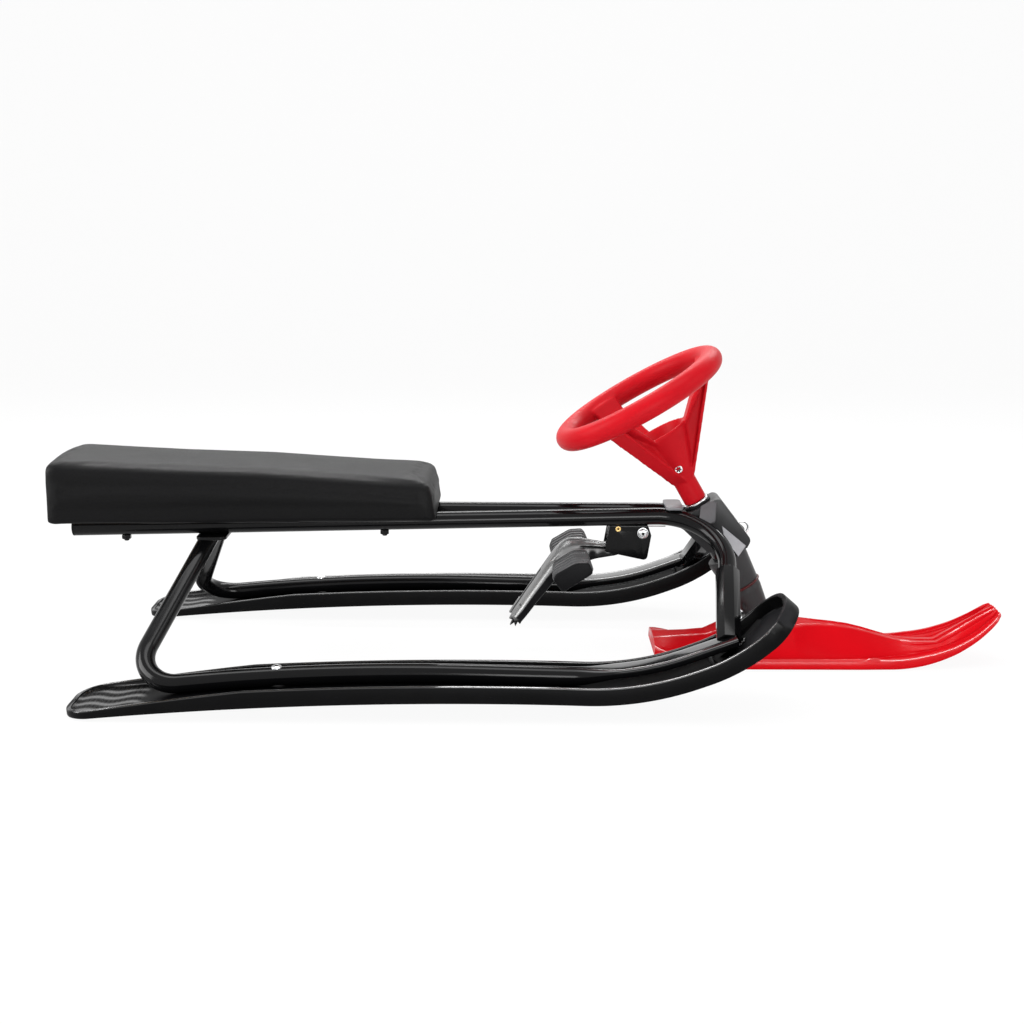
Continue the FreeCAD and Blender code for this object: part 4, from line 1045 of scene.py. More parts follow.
def make_tubes():
    ski_radius, main_radius = size("ski_tube_radius"), size("main_tube_radius")
    main_path = rounded([(tuple(MAIN_REAR), 0), (tuple(MAIN_CORNER), MAIN_BEND),
                         (tuple(POST_FOOT + POST_RISE * 90), 0)], 3.0)
    ski_path = ski_tube_path()

    def main_section(index, point):
        return circle(main_radius, TUBE_SIDES)

    def runner_section(index, point):
        on_deck = point.y < -SKI_Y + 1 and index < len(ski_path) - LEG_POINTS
        return pressed_section(point.x, ski_radius) if on_deck else circle(ski_radius, TUBE_SIDES)

    def flat_top(point, normal):
        return press_share(point.x) * fade(normal.z, 0.5, 0.3)

    for side in ("right", "left"):
        for tube, path, section in (("main_tube_", main_path, main_section),
                                    ("ski_tube_", ski_path, runner_section)):
            form = bmesh.new()
            skin(form, carried(path, (0, 1, 0), section))
            if side == "left":
                mirror(form)
            mesh = to_mesh(tube + side, form, 50)
            if tube == "ski_tube_":
                mark(mesh, "shine", flat_top)
            finish_node(tube + side, "painted", mesh)
    make_welds()


def bead_ring(centre, axis, reach, count):
    """A wavering ring of weld round an axis."""
    side = axis.orthogonal().normalized()
    other = axis.cross(side)
    points = []
    for k in range(count):
        angle = math.tau * k / count
        outward = side * math.cos(angle) + other * math.sin(angle)
        radius = reach + 0.25 * math.sin(angle * 17)
        points.append(centre + outward * radius + axis * 0.2 * math.sin(angle * 11 + 1))
    return points


def post_foot_bead():
    """Weld round the foot of a post, on top of its ski tube."""
    points = []
    for k in range(72):
        angle = math.tau * k / 72
        x = POST_FOOT.x + 1 + 16.5 * math.cos(angle) + 0.7 * math.sin(angle * 13)
        y = POST_FOOT.y + 5 + 14.8 * math.sin(angle)
        points.append(Vector((x, y, on_run(RAIL, 2, x) + 0.3 + 0.4 * math.sin(angle * 9))))
    return points


def leg_bead():
    """Weld round the top of a leg, under the cross plate."""
    points = []
    for point in bead_ring(LEG_TOP - LEG * 4, LEG, size("ski_tube_radius") + 0.8, 72):
        travel = (on_level(point.x, point.y, -15.6).z - point.z) / LEG.z
        points.append(point + LEG * travel)
    return points


def make_welds():
    """Beads where tubes meet plates and posts."""
    post_top = bead_ring(POST_FOOT + POST_RISE * 118, POST_RISE, size("main_tube_radius") + 1.2, 64)
    lines = []
    for sign in (1, -1):
        for points in (post_top, post_foot_bead(), leg_bead()):
            lines.append(([Vector((point.x, sign * point.y, point.z)) for point in points], True))
    mesh = wire_mesh("weld_beads", lines, size("bead"), "frame_paint", 10)
    place_piece("weld_beads", mesh, "frame", "frame_paint")


# Seat

SEAT_REAR, SEAT_FRONT, SEAT_SIDE = -576.2, -115.0, 79.0
SEAT_HEIGHTS = [(SEAT_REAR, 86), (-320, 76), (SEAT_FRONT, 62)]
SEAT_VOXEL = 3.4
SWELL_FRAMES = 20


def drawn_in(point):
    """Pulls the sides of the cushion in between its edges, where the cover is tacked below."""
    low = on_level(point.x, 0, -3.5).z
    high = low + table_value(SEAT_HEIGHTS, point.x)
    share = min(1.0, max(0.0, (point.z - low) / (high - low)))
    waist = math.sin(math.pi * share ** 0.8)
    near_side = fade(abs(point.y), SEAT_SIDE - 16, 14)
    near_rear = fade(point.x, SEAT_REAR + 18, -14)
    corner = fade(abs(point.y), 45, 30) * fade(point.x, SEAT_REAR + 60, -50)
    wave = 0.5 * math.sin(point.x / 31) + 0.35 * math.sin(point.x / 13 + 1)
    moved = point.copy()
    moved.y -= math.copysign(1.0, point.y) * near_side * (1.6 * waist + 0.3 * wave * (1 - share))
    moved.x += near_rear * 2.2 * waist
    moved.z += near_side * (1 - share) ** 3 * (1.3 + 0.7 * wave) * (1 - corner)
    return moved


def swell_cover(cushion):
    """Swells the cover as cloth under pressure, held where it meets the board."""
    held = cushion.vertex_groups.new(name="held")
    for vertex in cushion.data.vertices:
        level = vertex.co.z / MM - on_level(vertex.co.x / MM, 0, 0).z
        held.add([vertex.index], 1.0 - fade(level, 20, 14), "REPLACE")
    settings = cushion.modifiers.new("cover", "CLOTH").settings
    settings.use_pressure = True
    settings.uniform_pressure_force = 4.0
    settings.effector_weights.gravity = 0.0
    settings.vertex_group_mass = "held"
    settings.tension_stiffness = 25.0
    settings.compression_stiffness = 25.0
    scene = bpy.context.scene
    for number in range(1, SWELL_FRAMES + 1):
        scene.frame_set(number)
    swollen = evaluated_mesh(cushion)
    scene.frame_set(1)
    cushion.data = swollen


def make_seat():
    """The cushion: a copy of its solid, swollen as cloth over foam and kept flat below."""
    cushion = loose_object("cushion_helper", plain_mesh("cushion_start", solid_form("seat_cushion")))
    add_modifier(cushion, "REMESH", mode="VOXEL", voxel_size=SEAT_VOXEL * MM)
    cushion.data = evaluated_mesh(cushion)
    start = [vertex.co.copy() for vertex in cushion.data.vertices]
    swell_cover(cushion)
    swell = size("seat_swell") * MM
    for vertex, origin in zip(cushion.data.vertices, start):
        shift = vertex.co - origin
        if shift.length > swell:
            vertex.co = origin + shift.normalized() * swell
        vertex.co = drawn_in(vertex.co / MM) * MM
    add_modifier(cushion, "SMOOTH", factor=0.5, iterations=2)
    add_modifier(cushion, "SUBSURF", levels=1, render_levels=1)
    piece = place_piece("seat_cover", settled(cushion, 80), "frame", "seat_vinyl", ("seat_cushion",))


# Steering wheel

WHEEL_UP, WHEEL_VOXEL = 374.2, 1.4
# The column, its flare and the hollow of its cone as (radius, height along the axis)
COLUMN = [(0.01, 228.5), (13, 228.5), (14, 229.5), (14, 258), (15.5, 264), (35.4, 321), (36.4, 324),
          (35.4, 325.5), (33.4, 325.3), (31.6, 323), (15, 297), (12, 296), (0.01, 296)]


def wheel_profile(form, profile, count):
    """A form turned about the steering axis."""
    rows = [[on_axis(a, b, up) for a, b in circle(out, count)] for out, up in profile]
    skin(form, rows, True, False)


def spoke_block(form, turn, outline, half):
    """A flat piece in a plane through the steering axis; outline holds (out, up, share of the half width)."""
    c, s = math.cos(turn), math.sin(turn)
    rows = []
    for side in (-1, 1):
        rows.append([on_axis(out * c - side * half * wide * s, out * s + side * half * wide * c, up)
                     for out, up, wide in outline])
    skin(form, rows)


def make_wheel():
    radius, thick = size("wheel_radius"), size("rim_radius")
    high, low = WHEEL_UP, WHEEL_UP - thick
    rim = [(radius + a, high + b) for a, b in circle(thick, 40)]
    form = bmesh.new()
    wheel_profile(form, rim + rim[:1], 120)
    wheel_profile(form, COLUMN, 72)
    web = [(9, 262, 1), (13, 263, 1), (radius - 9, low + 1, 1), (radius - 2, high - 2, 1),
           (radius - 16, high - 3, 1), (70, 352, 1), (37, 326, 1), (20, 300, 1), (9, 290, 1)]
    flange = [(radius - 4, high - 7, 1.25), (radius - 3, high + 1, 1.25), (radius - 13, high + 6, 1.2),
              (radius - 17, high + 4, 1.15), (72, 357, 0.95), (54, 343, 0.82), (36, 324.5, 0.7),
              (33, 318, 0.7), (52, 334, 0.82), (70, 348.5, 0.95), (radius - 17, high - 9, 1.15)]
    foot = [(11, 257, 0.9), (15, 260.5, 0.9), (radius - 8, low + 1.5, 1.0), (radius - 10, low + 6, 1.0),
            (16, 268, 0.9), (8, 268, 0.9)]
    for number in range(3):
        for outline, half in ((web, 4.5), (flange, 17), (foot, 11)):
            spoke_block(form, number * math.tau / 3, outline, half)
    bmesh.ops.recalc_face_normals(form, faces=form.faces)
    helper = loose_object("wheel_helper", to_mesh("wheel_start", form, 30))
    add_modifier(helper, "REMESH", mode="VOXEL", voxel_size=WHEEL_VOXEL * MM)
    add_modifier(helper, "SMOOTH", factor=0.5, iterations=6)
    finish_node("steering_wheel", "moulding", settled(helper, 60))


# Front ski

FRONT_TAIL, FRONT_TIP = 150, 577
FRONT_SOLE = [(FRONT_TAIL, 12, 0), (190, 0, 120), (520, 0, 188), (FRONT_TIP, 57.5, 0)]
FRONT_EDGE = [(FRONT_TAIL, 12), (480, 12), (540, 7.5), (FRONT_TIP, 5)]
# Rows of x, ridge height, ridge half width, base half width
FRONT_HUMP = [
    (FRONT_TAIL, 28, 15, 41), (158, 28.5, 13, 42), (190, 30, 12, 46), (215, 32, 13, 50), (250, 45, 23.5, 52),
    (322, 46, 23, 53), (336, 45.6, 15, 53), (356, 44.5, 10, 53), (376, 42.8, 8.5, 52), (395, 40, 8, 51),
    (412, 36, 7.6, 49), (428, 31.2, 7.2, 46), (444, 26.6, 6.8, 42), (460, 23, 6.4, 38), (480, 21, 6, 34),
    (505, 21, 6, 30), (FRONT_TIP, 64, 5, 18)]
FRONT_HALF = [
    (FRONT_TAIL, 44), (156, 50), (168, 56), (190, 60.5), (220, 62), (400, 62), (440, 60.5), (480, 56),
    (520, 50), (548, 43), (564, 37), (572, 33), (FRONT_TIP, 26)]
FRONT_STEPS = 52


def front_section(x, sole):
    """One closed section across the front ski."""
    base = height_on(sole, x)
    lean = (height_on(sole, min(x + 1, FRONT_TIP)) - height_on(sole, max(x - 1, FRONT_TAIL))) / 2
    half = table_value(FRONT_HALF, x)
    edge = table_value(FRONT_EDGE, x)
    deck = base + edge
    ridge = max(table_value(FRONT_HUMP, x), base + edge + 0.2)
    ridge_half = table_value(FRONT_HUMP, x, 2)
    foot = min(table_value(FRONT_HUMP, x, 3), half - 4)
    hollow = 1.3 * fade(x, 335, 20) * fade(x, 450, -30)
    toe = fade(x, 455, 40)
    lip = half - 1 - 13 * fade(x, 402, 42) + 5 * fade(x, 480, 90)
    lip_height = 2.4 * fade(x, 400, 14) * fade(x, 575, -12)
    bead_height = 1.2 * fade(x, 180, 20) * fade(x, 430, -30)

    def top(y):
        """Height of the upper side at a distance from the middle."""
        if y <= ridge_half:
            height = ridge - hollow * fade(y, ridge_half - 1, -1.5)
        elif y < foot:
            share = (foot - y) / (foot - ridge_half)
            height = deck + (ridge - deck) * (0.02 + 0.98 * share ** 0.85)
        else:
            height = deck
        for groove in (0.0, 0.3, 0.6):
            height -= 1.5 * toe * hump(y, groove * half, 2.6)
        height += bead_height * hump(y, half - 4.2, 2.4)
        return height + lip_height * hump(y, lip, 4.2)

    right = [(0.0, base), (half * 0.5, base), (half - 4, base), (half - 1.2, base + 0.8), (half, base + 2.6),
             (half - 0.2, deck - 2.0), (half - 1.0, deck - 0.5)]
    for y in [(half - 2.4) * (1 - k / FRONT_STEPS) for k in range(FRONT_STEPS + 1)]:
        right.append((y, top(y)))
    rake = 0.35 * lean
    return [Vector((x - rake * (z - base), y, z)) for y, z in both_sides(right)]


def make_front_ski():
    sole = line_points(FRONT_SOLE, 0, 1.5)
    places = [FRONT_TAIL, 150.6, 151.5, 153, 155, 157.5]
    places += [160 + k * 2.5 for k in range(165)] + [572.5, 574, 575.5, 576.4, FRONT_TIP]
    mesh = skinned("front_ski_form", [front_section(x, sole) for x in places], 28)
    mark(mesh, "shine", front_shine)
    finish_node("front_ski", "moulding", mesh)


def front_shine(point, normal):
    """Edges of the front ski that are polished by snow: its ridge and its rim."""
    y = abs(point.y)
    ridge = hump(y, table_value(FRONT_HUMP, point.x, 2) + 1, 2.5)
    rim = fade(y, table_value(FRONT_HALF, point.x) - 6.0, 1.5)
    return max(ridge, rim) * fade(normal.z, 0.15, 0.3)


# Brake

# Rows of the upper line x and z, the lower line x and z, the half width, the share of the height that is
# round and the depth of the grooves
LEVER_LINE = [
    (5, 4, 5, -7, 14.5, 0.8, 0.0), (-16, 1.5, -10, -17, 14.5, 0.8, 0.0), (-34, -3, -28, -28, 15, 0.85, 0.0),
    (-43, -15, -40, -31, 15, 0.9, 1.4), (-56, -14, -54, -33, 17, 0.9, 1.6),
    (-68, -12, -66, -36, 20, 0.9, 1.5), (-80, -10.5, -74, -42, 22.5, 0.9, 0.3),
    (-91, -11.5, -84, -48, 23.5, 0.88, 0.1), (-100, -17, -93, -51, 23.5, 0.8, 0.1),
    (-108, -26, -100, -55, 23.4, 0.68, 0.3), (-119, -42, -108, -62, 23.2, 0.58, 0.8),
    (-124, -49.5, -112.5, -67.5, 23, 0.55, 0.9)]
# The same for each prong of the fork, down to its teeth, without grooves
PRONG_LINE = [
    (-112, -32, -103, -57, 22.6, 0.62), (-119, -42, -108, -62, 22.8, 0.58),
    (-131, -60, -118, -75, 22.8, 0.56), (-141, -75, -127, -86, 22.8, 0.56),
    (-152, -92, -138, -101, 22.5, 0.56), (-160.5, -105, -146, -111.5, 21.5, 0.5)]
LEVER_FOOT = [(-1.0, 1.4), (-0.95, 0.3), (-0.88, 0.0), (0.0, 0.0), (0.88, 0.0), (0.95, 0.3), (1.0, 1.4)]
# Grooves across the lever as (angle, half width in degrees, share of the depth)
GROOVES = [(42, 8, 1.0), (90, 8, 1.0), (138, 8, 1.0), (66, 5, 0.5), (114, 5, 0.5)]
CROWN_STEPS, PRONG_STEPS, LEVER_STEPS = 64, 24, 8
FULLNESS = 0.95
FORK_HALF = 6.5
TEETH = [(-150, -90), (-159.5, -104.5), (-162.5, -109.5), (-158.6, -110.6), (-161.5, -118), (-156.6, -114.6),
         (-155, -119.5), (-151.8, -113.8), (-149.2, -117), (-146, -111.5), (-139, -101)]
TEETH_MIDDLE = Vector((-151, -105))
# Sections across the teeth of a prong as (distance from the middle, inset)
TEETH_ROWS = [(8.0, 1.6), (9.0, 0.5), (10.5, 0.0), (17.0, 0.0), (18.6, 0.5), (19.6, 1.6)]


def crown(angle, depth, round_share):
    """A point of the round upper side: its share of the half width, and its height."""
    c = math.cos(angle)
    round_part = round_share * depth
    return math.copysign(abs(c) ** FULLNESS, c), depth - round_part + round_part * math.sin(angle) ** FULLNESS


def lever_section(depth, half, round_share, groove):
    """Straight sides below and a broad round above, grooved on each flank and in the middle."""
    points = []
    for k in range(CROWN_STEPS + 1):
        angle = math.pi * k / CROWN_STEPS
        side, high = crown(angle, depth, round_share)
        dent = 0.0
        for place, wide, share in GROOVES:
            dent += share * groove * hump(math.degrees(angle), place, wide)
        inset = 2.6 * dent * abs(math.cos(angle))
        points.append((side * (half - inset), high - 2.4 * dent * math.sin(angle)))
    return points + [(side * half, high) for side, high in LEVER_FOOT]


def prong_section(depth, half, round_share):
    """The outer part of the lever's section, cut off at the gap of the fork."""
    stop = math.acos((FORK_HALF / half) ** (1 / FULLNESS))
    points = []
    for k in range(PRONG_STEPS + 1):
        side, high = crown(stop * k / PRONG_STEPS, depth, round_share)
        points.append((half * side, high))
    inner_top = points[-1][1]
    return points + [(FORK_HALF - 0.4, inner_top - 0.8), (FORK_HALF, 1.0), (FORK_HALF + 1, 0.0),
                     (half * 0.88, 0.0), (half * 0.95, 0.3), (half, 1.4)]


def smooth_line(knots, index, t):
    """A point of a smooth curve through knots, between one knot and the next."""
    p0 = knots[max(index - 1, 0)]
    p1, p2 = knots[index], knots[index + 1]
    p3 = knots[min(index + 2, len(knots) - 1)]
    return 0.5 * (2 * p1 + (p2 - p0) * t + (2 * p0 - 5 * p1 + 4 * p2 - p3) * t ** 2
                  + (3 * p1 - p0 - 3 * p2 + p3) * t ** 3)


def lever_rows(line, section):
    """Sections of the lever between its upper and its lower line, finely spaced."""
    upper = [PIVOT + Vector((row[0], 0, row[1])) for row in line]
    lower = [PIVOT + Vector((row[2], 0, row[3])) for row in line]
    rows = []
    for index, (here, after) in enumerate(zip(line, line[1:])):
        for k in range(LEVER_STEPS + (index == len(line) - 2)):
            t = k / LEVER_STEPS
            shape = [low + (high - low) * ease(t) for low, high in zip(here[4:], after[4:])]
            foot = smooth_line(lower, index, t)
            rise = smooth_line(upper, index, t) - foot
            up = rise.normalized()
            rows.append([foot + Vector((0, y, 0)) + up * z for y, z in section(rise.length, *shape)])
    return rows


def add_prong(form, sign):
    """One prong of the fork with its toothed end."""
    flip = Vector((1, sign, 1))
    skin(form, [[point * flip for point in row] for row in lever_rows(PRONG_LINE, prong_section)])
    rows = []
    for y, inset in TEETH_ROWS:
        row = []
        for corner in TEETH:
            offset = Vector(corner) - TEETH_MIDDLE
            shrunk = TEETH_MIDDLE + offset * (1 - inset / max(offset.length, 8))
            row.append(PIVOT + Vector((shrunk.x, sign * y, shrunk.y)))
        rows.append(row)
    skin(form, rows)


PEDAL = Vector((47.5, 0, 123))
PEDAL_SECTION = [(-23, -3), (-12, -17.5), (23.4, 5.6), (17.8, 18.2), (1.8, 17), (-20.5, 4)]
PEDAL_RADII = [4.5, 4.5, 4.5, 4.5, 14, 4.5]
PEDAL_MIDDLE = Vector((0, 0, 1))
PEDAL_INNER, PEDAL_REACH = 23.4, 66.0
PEDAL_TAPER = 0.06
# Lengths of the pedal's section as (distance along, growth)
PEDAL_BODY = [(0, -1.6), (0.4, -0.6), (1.4, 0), (PEDAL_REACH - 0.6, 0), (PEDAL_REACH, -0.6)]
PEDAL_RIB = [(0, -0.4), (0.6, 1.2), (1.6, 2.0), (4.8, 2.0), (5.8, 1.2), (6.4, -0.4)]
PEDAL_CAP = [(0, -0.5), (0.3, 0.2), (0.9, 0.5), (2.6, 0.5), (3.5, -0.2), (3.9, -1.4)]


def pedal_outline(grow):
    """The six-sided section of a pedal with rounded corners, grown outwards."""
    corners = [Vector((x, 0, z)) for x, z in PEDAL_SECTION]
    points = []
    for index, (here, radius) in enumerate(zip(corners, PEDAL_RADII)):
        after = corners[(index + 1) % len(corners)]
        points += corner_arc(corners[index - 1], here, after, radius, 1.2)
    offsets = [point - PEDAL_MIDDLE for point in points]
    return [PEDAL_MIDDLE + offset * (1 + grow / offset.length) for offset in offsets]


def pedal_form(name, sign, start, steps):
    """A length of the pedal's section on one side of the lever."""
    rows = []
    for along, grow in steps:
        place = PEDAL + Vector((0, sign * (start + along), 0))
        rows.append([place + point for point in pedal_outline(grow)])
    return skinned(name, rows, 40)


def make_brake():
    form = bmesh.new()
    skin(form, lever_rows(LEVER_LINE, lever_section))
    add_prong(form, 1)
    add_prong(form, -1)
    lever = to_mesh("lever_form", form, 34)
    mark(lever, "shine", lambda point, normal: fade(0.75 * normal.z - 0.6 * normal.x, 0.1, 0.24))
    finish_node("brake_lever", "moulding", lever)
    make_pedals()
    make_spring()


def make_pedals():
    pitch = size("rib_pitch")
    count = int((PEDAL_REACH - 10) / pitch) + 1
    for side, sign in (("right", -1), ("left", 1)):
        rib = pedal_form("rib_" + side, sign, PEDAL_INNER + 2.0, PEDAL_RIB)
        ribs = through_tree("ribs_at_pitch", rib_tree, rib, {
            "Rib Count": count, "Rib Pitch": sign * pitch * MM, "Material": finish_of("pedal_rubber")})
        form = bmesh.new()
        form.from_mesh(pedal_form("pedal_" + side, sign, PEDAL_INNER, PEDAL_BODY))
        form.from_mesh(ribs)
        for vert in form.verts:
            along = abs(vert.co.y / MM) - PEDAL_INNER
            waist = 1 - PEDAL_TAPER * (1 - ease(along / PEDAL_REACH))
            vert.co.x = (PEDAL.x + (vert.co.x / MM - PEDAL.x) * waist) * MM
            vert.co.z = (PEDAL.z + (vert.co.z / MM - PEDAL.z) * waist) * MM
        tread = plain_mesh("tread_" + side, form)
        smooth_over(tread, 40)
        finish_node("brake_pedal_" + side, "tread", tread)
        cap = pedal_form("cap_" + side, sign, PEDAL_INNER + PEDAL_REACH, PEDAL_CAP)
        finish_node("pedal_cap_" + side, "end", cap)


def make_spring():
    """The brake's return spring: one leg forward under the tubes, four turns, one leg hooked down."""
    radius, pitch, turns, turn_steps = 5.2, 2.4, 4, 36
    leg, hook, hook_drop = 29, 22, 12
    start = -pitch * turns / 2
    line = [PIVOT + Vector((leg - k, start, radius)) for k in range(0, leg, 4)]
    for k in range(turns * turn_steps + 1):
        angle = math.tau * k / turn_steps
        across = start + pitch * k / turn_steps
        line.append(PIVOT + Vector((-radius * math.sin(angle), across, radius * math.cos(angle))))
    end = rounded([((0, -start, radius), 0), ((-hook, -start, radius), 3.2),
                   ((-hook, -start, radius - hook_drop), 0)], 1.0)
    line += [PIVOT + point for point in end[1:]]
    finish_node("brake_spring", "wire", wire_mesh("spring_wire", [(line, False)], 0.8, "spring_steel", 12))


# Fasteners and small hardware

HEAD_SIDES = 48
LIP = 0.15
PIVOT_HALF, COLUMN_HALF = 21.4, 19.4
CROSS_BOLT_UP = 277.1
SEAT_NUT_X = (-487, -179)
# The foot of the socket: the height of the ski under it, its top, and how far it reaches behind the axis
FOOT_BASE, FOOT_TOP, FOOT_BACK = 46, 51, 32
# The front of the steering head as (out, up) from the axis, its slope, and the tow eye on it
HEAD_FRONT = (26.5, 222.5)
HEAD_SLOPE = Vector((9, 0, -66))
EYE_UP, EYE_RADIUS, EYE_WIRE = 170.5, 7.5, 1.4


def pan_head(radius, high, shank, recess):
    """A domed head with a six-lobed recess and a short shank, seated at its origin."""
    form = bmesh.new()
    lathe(form, [
        (0.0001, -shank), (radius * 0.5, -shank), (radius * 0.5, -0.02), (radius * 0.97, 0.0),
        (radius, high * 0.18), (radius * 0.97, high * 0.5), (radius * 0.86, high * 0.78),
        (radius * 0.68, high * 0.94), (recess + LIP, high), (recess, high - LIP)], HEAD_SIDES)
    form.faces.ensure_lookup_table()
    bmesh.ops.delete(form, geom=[form.faces[-1]], context="FACES_ONLY")
    # A wide recess is kept shallow, above the seat of the head
    deep = -0.8 * shank if recess < radius * 0.5 else 0.2 * high
    rows = [ring(high - LIP, HEAD_SIDES, lambda angle: recess)]
    for depth, share in ((high - LIP, 1.0), (high - 0.2, 0.97), (deep, 0.9)):
        reach = recess * share
        rows.append(ring(depth, HEAD_SIDES, lambda angle: reach * (0.86 + 0.14 * math.cos(6 * angle))))
    skin(form, rows, True, False)
    form.faces.new([form.verts.new(point) for point in rows[-1]])
    mesh = to_mesh("pan_head", form, 35)

    # The recess is marked for painted shade.
    def recess_painted_shade(point, normal):
        return 1.0 if point.xy.length < recess * 0.99 and point.z < high - 0.18 else 0.0

    mark(mesh, "recess", recess_painted_shade)
    return mesh


def hex_nut(across, high, bore):
    """A chamfered nut on a thread end, seated at its origin."""
    apothem = across / 2

    def flats(angle):
        return apothem / math.cos((angle + math.pi / 6) % (math.pi / 3) - math.pi / 6)

    form = bmesh.new()
    lathe(form, [
        (apothem * 0.98, 0), (apothem * 1.06, 0.35), (apothem * 1.2, 0.8), (apothem * 1.2, high - 0.8),
        (apothem * 1.06, high - 0.3), (apothem * 0.97, high), (bore + 0.5, high), (bore + 0.05, high - 0.5)],
        72, flats)
    thread = [(bore, high - 1.0)]
    for k in range(5):
        thread += [(bore, high + 0.4 * k), (bore - 0.3, high + 0.4 * k + 0.2)]
    thread += [(bore - 0.8, high + 2.2), (0.0001, high + 2.2)]
    lathe(form, thread, 36)
    return to_mesh("hex_nut", form, 30)


def ski_bolt_seats():
    """Seats of the bolts on the ski tubes, square to the tubes."""
    rail = line_points(RAIL, 0, 2.0)
    lean = (height_on(rail, SKI_BOLT_X + 1) - height_on(rail, SKI_BOLT_X - 1)) / 2
    up = Vector((-lean, 0, 1)).normalized()
    height = height_on(rail, SKI_BOLT_X)
    return [(Vector((SKI_BOLT_X, y, height)) + up * 9.2, up) for y in (-SKI_Y, SKI_Y)]


def seat_nut_seats():
    """Seats of the nuts under the main tubes."""
    down = (on_level(0, 0, -1) - on_level(0, 0, 0)).normalized()
    seats = []
    for x in SEAT_NUT_X:
        seats += [(on_level(x, y, -size("main_tube_radius")), down) for y in (-main_half(x), main_half(x))]
    return seats


def across_seat(middle, reach):
    """A seat at the end of a cross bolt, to the right where reach is negative."""
    return [(middle + Vector((0, reach, 0)), Vector((0, math.copysign(1, reach), 0)))]


def foot_seats():
    """Seats of the four screws on the foot of the socket."""
    rear = AXIS_FOOT.x - FOOT_BASE * math.tan(math.radians(30)) - FOOT_BACK
    return [(Vector((x, y, FOOT_TOP)), Vector((0, 0, 1))) for x in (rear + 7, rear + 57) for y in (-14, 14)]


def make_fasteners():
    cross = on_axis(0, 0, CROSS_BOLT_UP)
    nut = {"across": 10, "high": 5, "bore": 3}
    for name, seats, shape, slot, body, stands_for in (
            ("ski_bolts_heads", ski_bolt_seats(), pan_head(radius=6, high=4, shank=12, recess=2.6),
             "zinc_steel", "frame", ("ski_bolts",)),
            ("seat_nuts_set", seat_nut_seats(), hex_nut(**nut), "frame_paint", "frame", ("seat_nuts",)),
            ("brake_bolt_head", across_seat(PIVOT, -PIVOT_HALF),
             pan_head(radius=6, high=4, shank=3, recess=2.4), "zinc_steel", "frame", ()),
            ("brake_nut_set", across_seat(PIVOT, PIVOT_HALF), hex_nut(**nut),
             "zinc_steel", "frame", ("brake_nut", "brake_bolt")),
            ("wheel_bolt_head", across_seat(cross, -COLUMN_HALF),
             pan_head(radius=5.2, high=2.0, shank=6, recess=3.7), "zinc_steel", "steering", ("wheel_bolt",)),
            ("wheel_nut_set", across_seat(cross, COLUMN_HALF), hex_nut(**nut),
             "zinc_steel", "steering", ("wheel_nut",)),
            ("socket_screws_heads", foot_seats(), pan_head(radius=5, high=3, shank=8, recess=2.2),
             "zinc_steel", "steering", ("socket_screws",))):
        place_piece(name, fastener_mesh(name, seats, shape, slot), body, slot, stands_for)
    make_tow_eye()


def make_tow_eye():
    """A half ring of wire on the sloping front of the steering head."""
    out = HEAD_FRONT[0] + HEAD_SLOPE.x * (HEAD_FRONT[1] - EYE_UP) / -HEAD_SLOPE.z
    along = HEAD_SLOPE.normalized()
    outward = Vector((-along.z, 0, along.x))
    line = []
    for k in range(-4, 41):
        angle = math.pi * k / 36
        spot = (along * math.cos(angle) + outward * math.sin(angle)) * EYE_RADIUS
        line.append(on_axis(out + spot.x, 0, EYE_UP + spot.z))
    finish_node("tow_eye", "wire", wire_mesh("tow_wire", [(line, False)], EYE_WIRE, "zinc_steel", 14))


def make_brackets():
    """Pressed, turned and sawn parts keep the form of their solids, with their edges rounded."""
    edge = size("edge_round")
    trim = (on_axis(20.5, 0, 219.8), AXIS_OUT * 0.6 + AXIS_UP * 0.8)
    # The gussets and the tie plate take lightened copies of the head paint: painted highlight.
    softened("head_gusset_right", edge, "grey_facet", trim)
    softened("head_gusset_left", edge, "grey_facet", trim)
    softened("tie_plate", edge, "bare_panel")
    softened("ski_nuts", 0.3, "cap_plastic")
    for node, width in (
            ("front_post_right", 1.6), ("front_post_left", 1.6), ("rear_cross_plate", edge),
            ("tube_end_plugs", 0.8), ("seat_board", 0.6), ("head_bracket", edge), ("head_tube", 0.6),
            ("head_bush_upper", 0.4), ("head_bush_lower", 0.4), ("brake_bracket", 0.6),
            ("brake_washers", 0.3), ("stop_rivet", 0.3), ("shaft_washer", 0.3), ("steering_stem", 1.2),
            ("ski_socket", 1.6), ("pedal_bar", 0.5)):
        softened(node, width)
    make_head_panels()
    for node, item in frame["nodes"].items():
        if not item.hide_render:
            item.data.materials.clear()
            item.data.materials.append(finish_of(SLOTS[node]))


# Corners of a side panel as (out, up, rise) from the steering axis
PANEL = [(12.5, 190, 0.2), (26.2, 154, 3.2), (12, 147, 3.6), (8, 176, 1.2)]
SEAM_RADIUS, SEAM_UP, SEAM_WIRE = 21.3, 106.5, 1.6


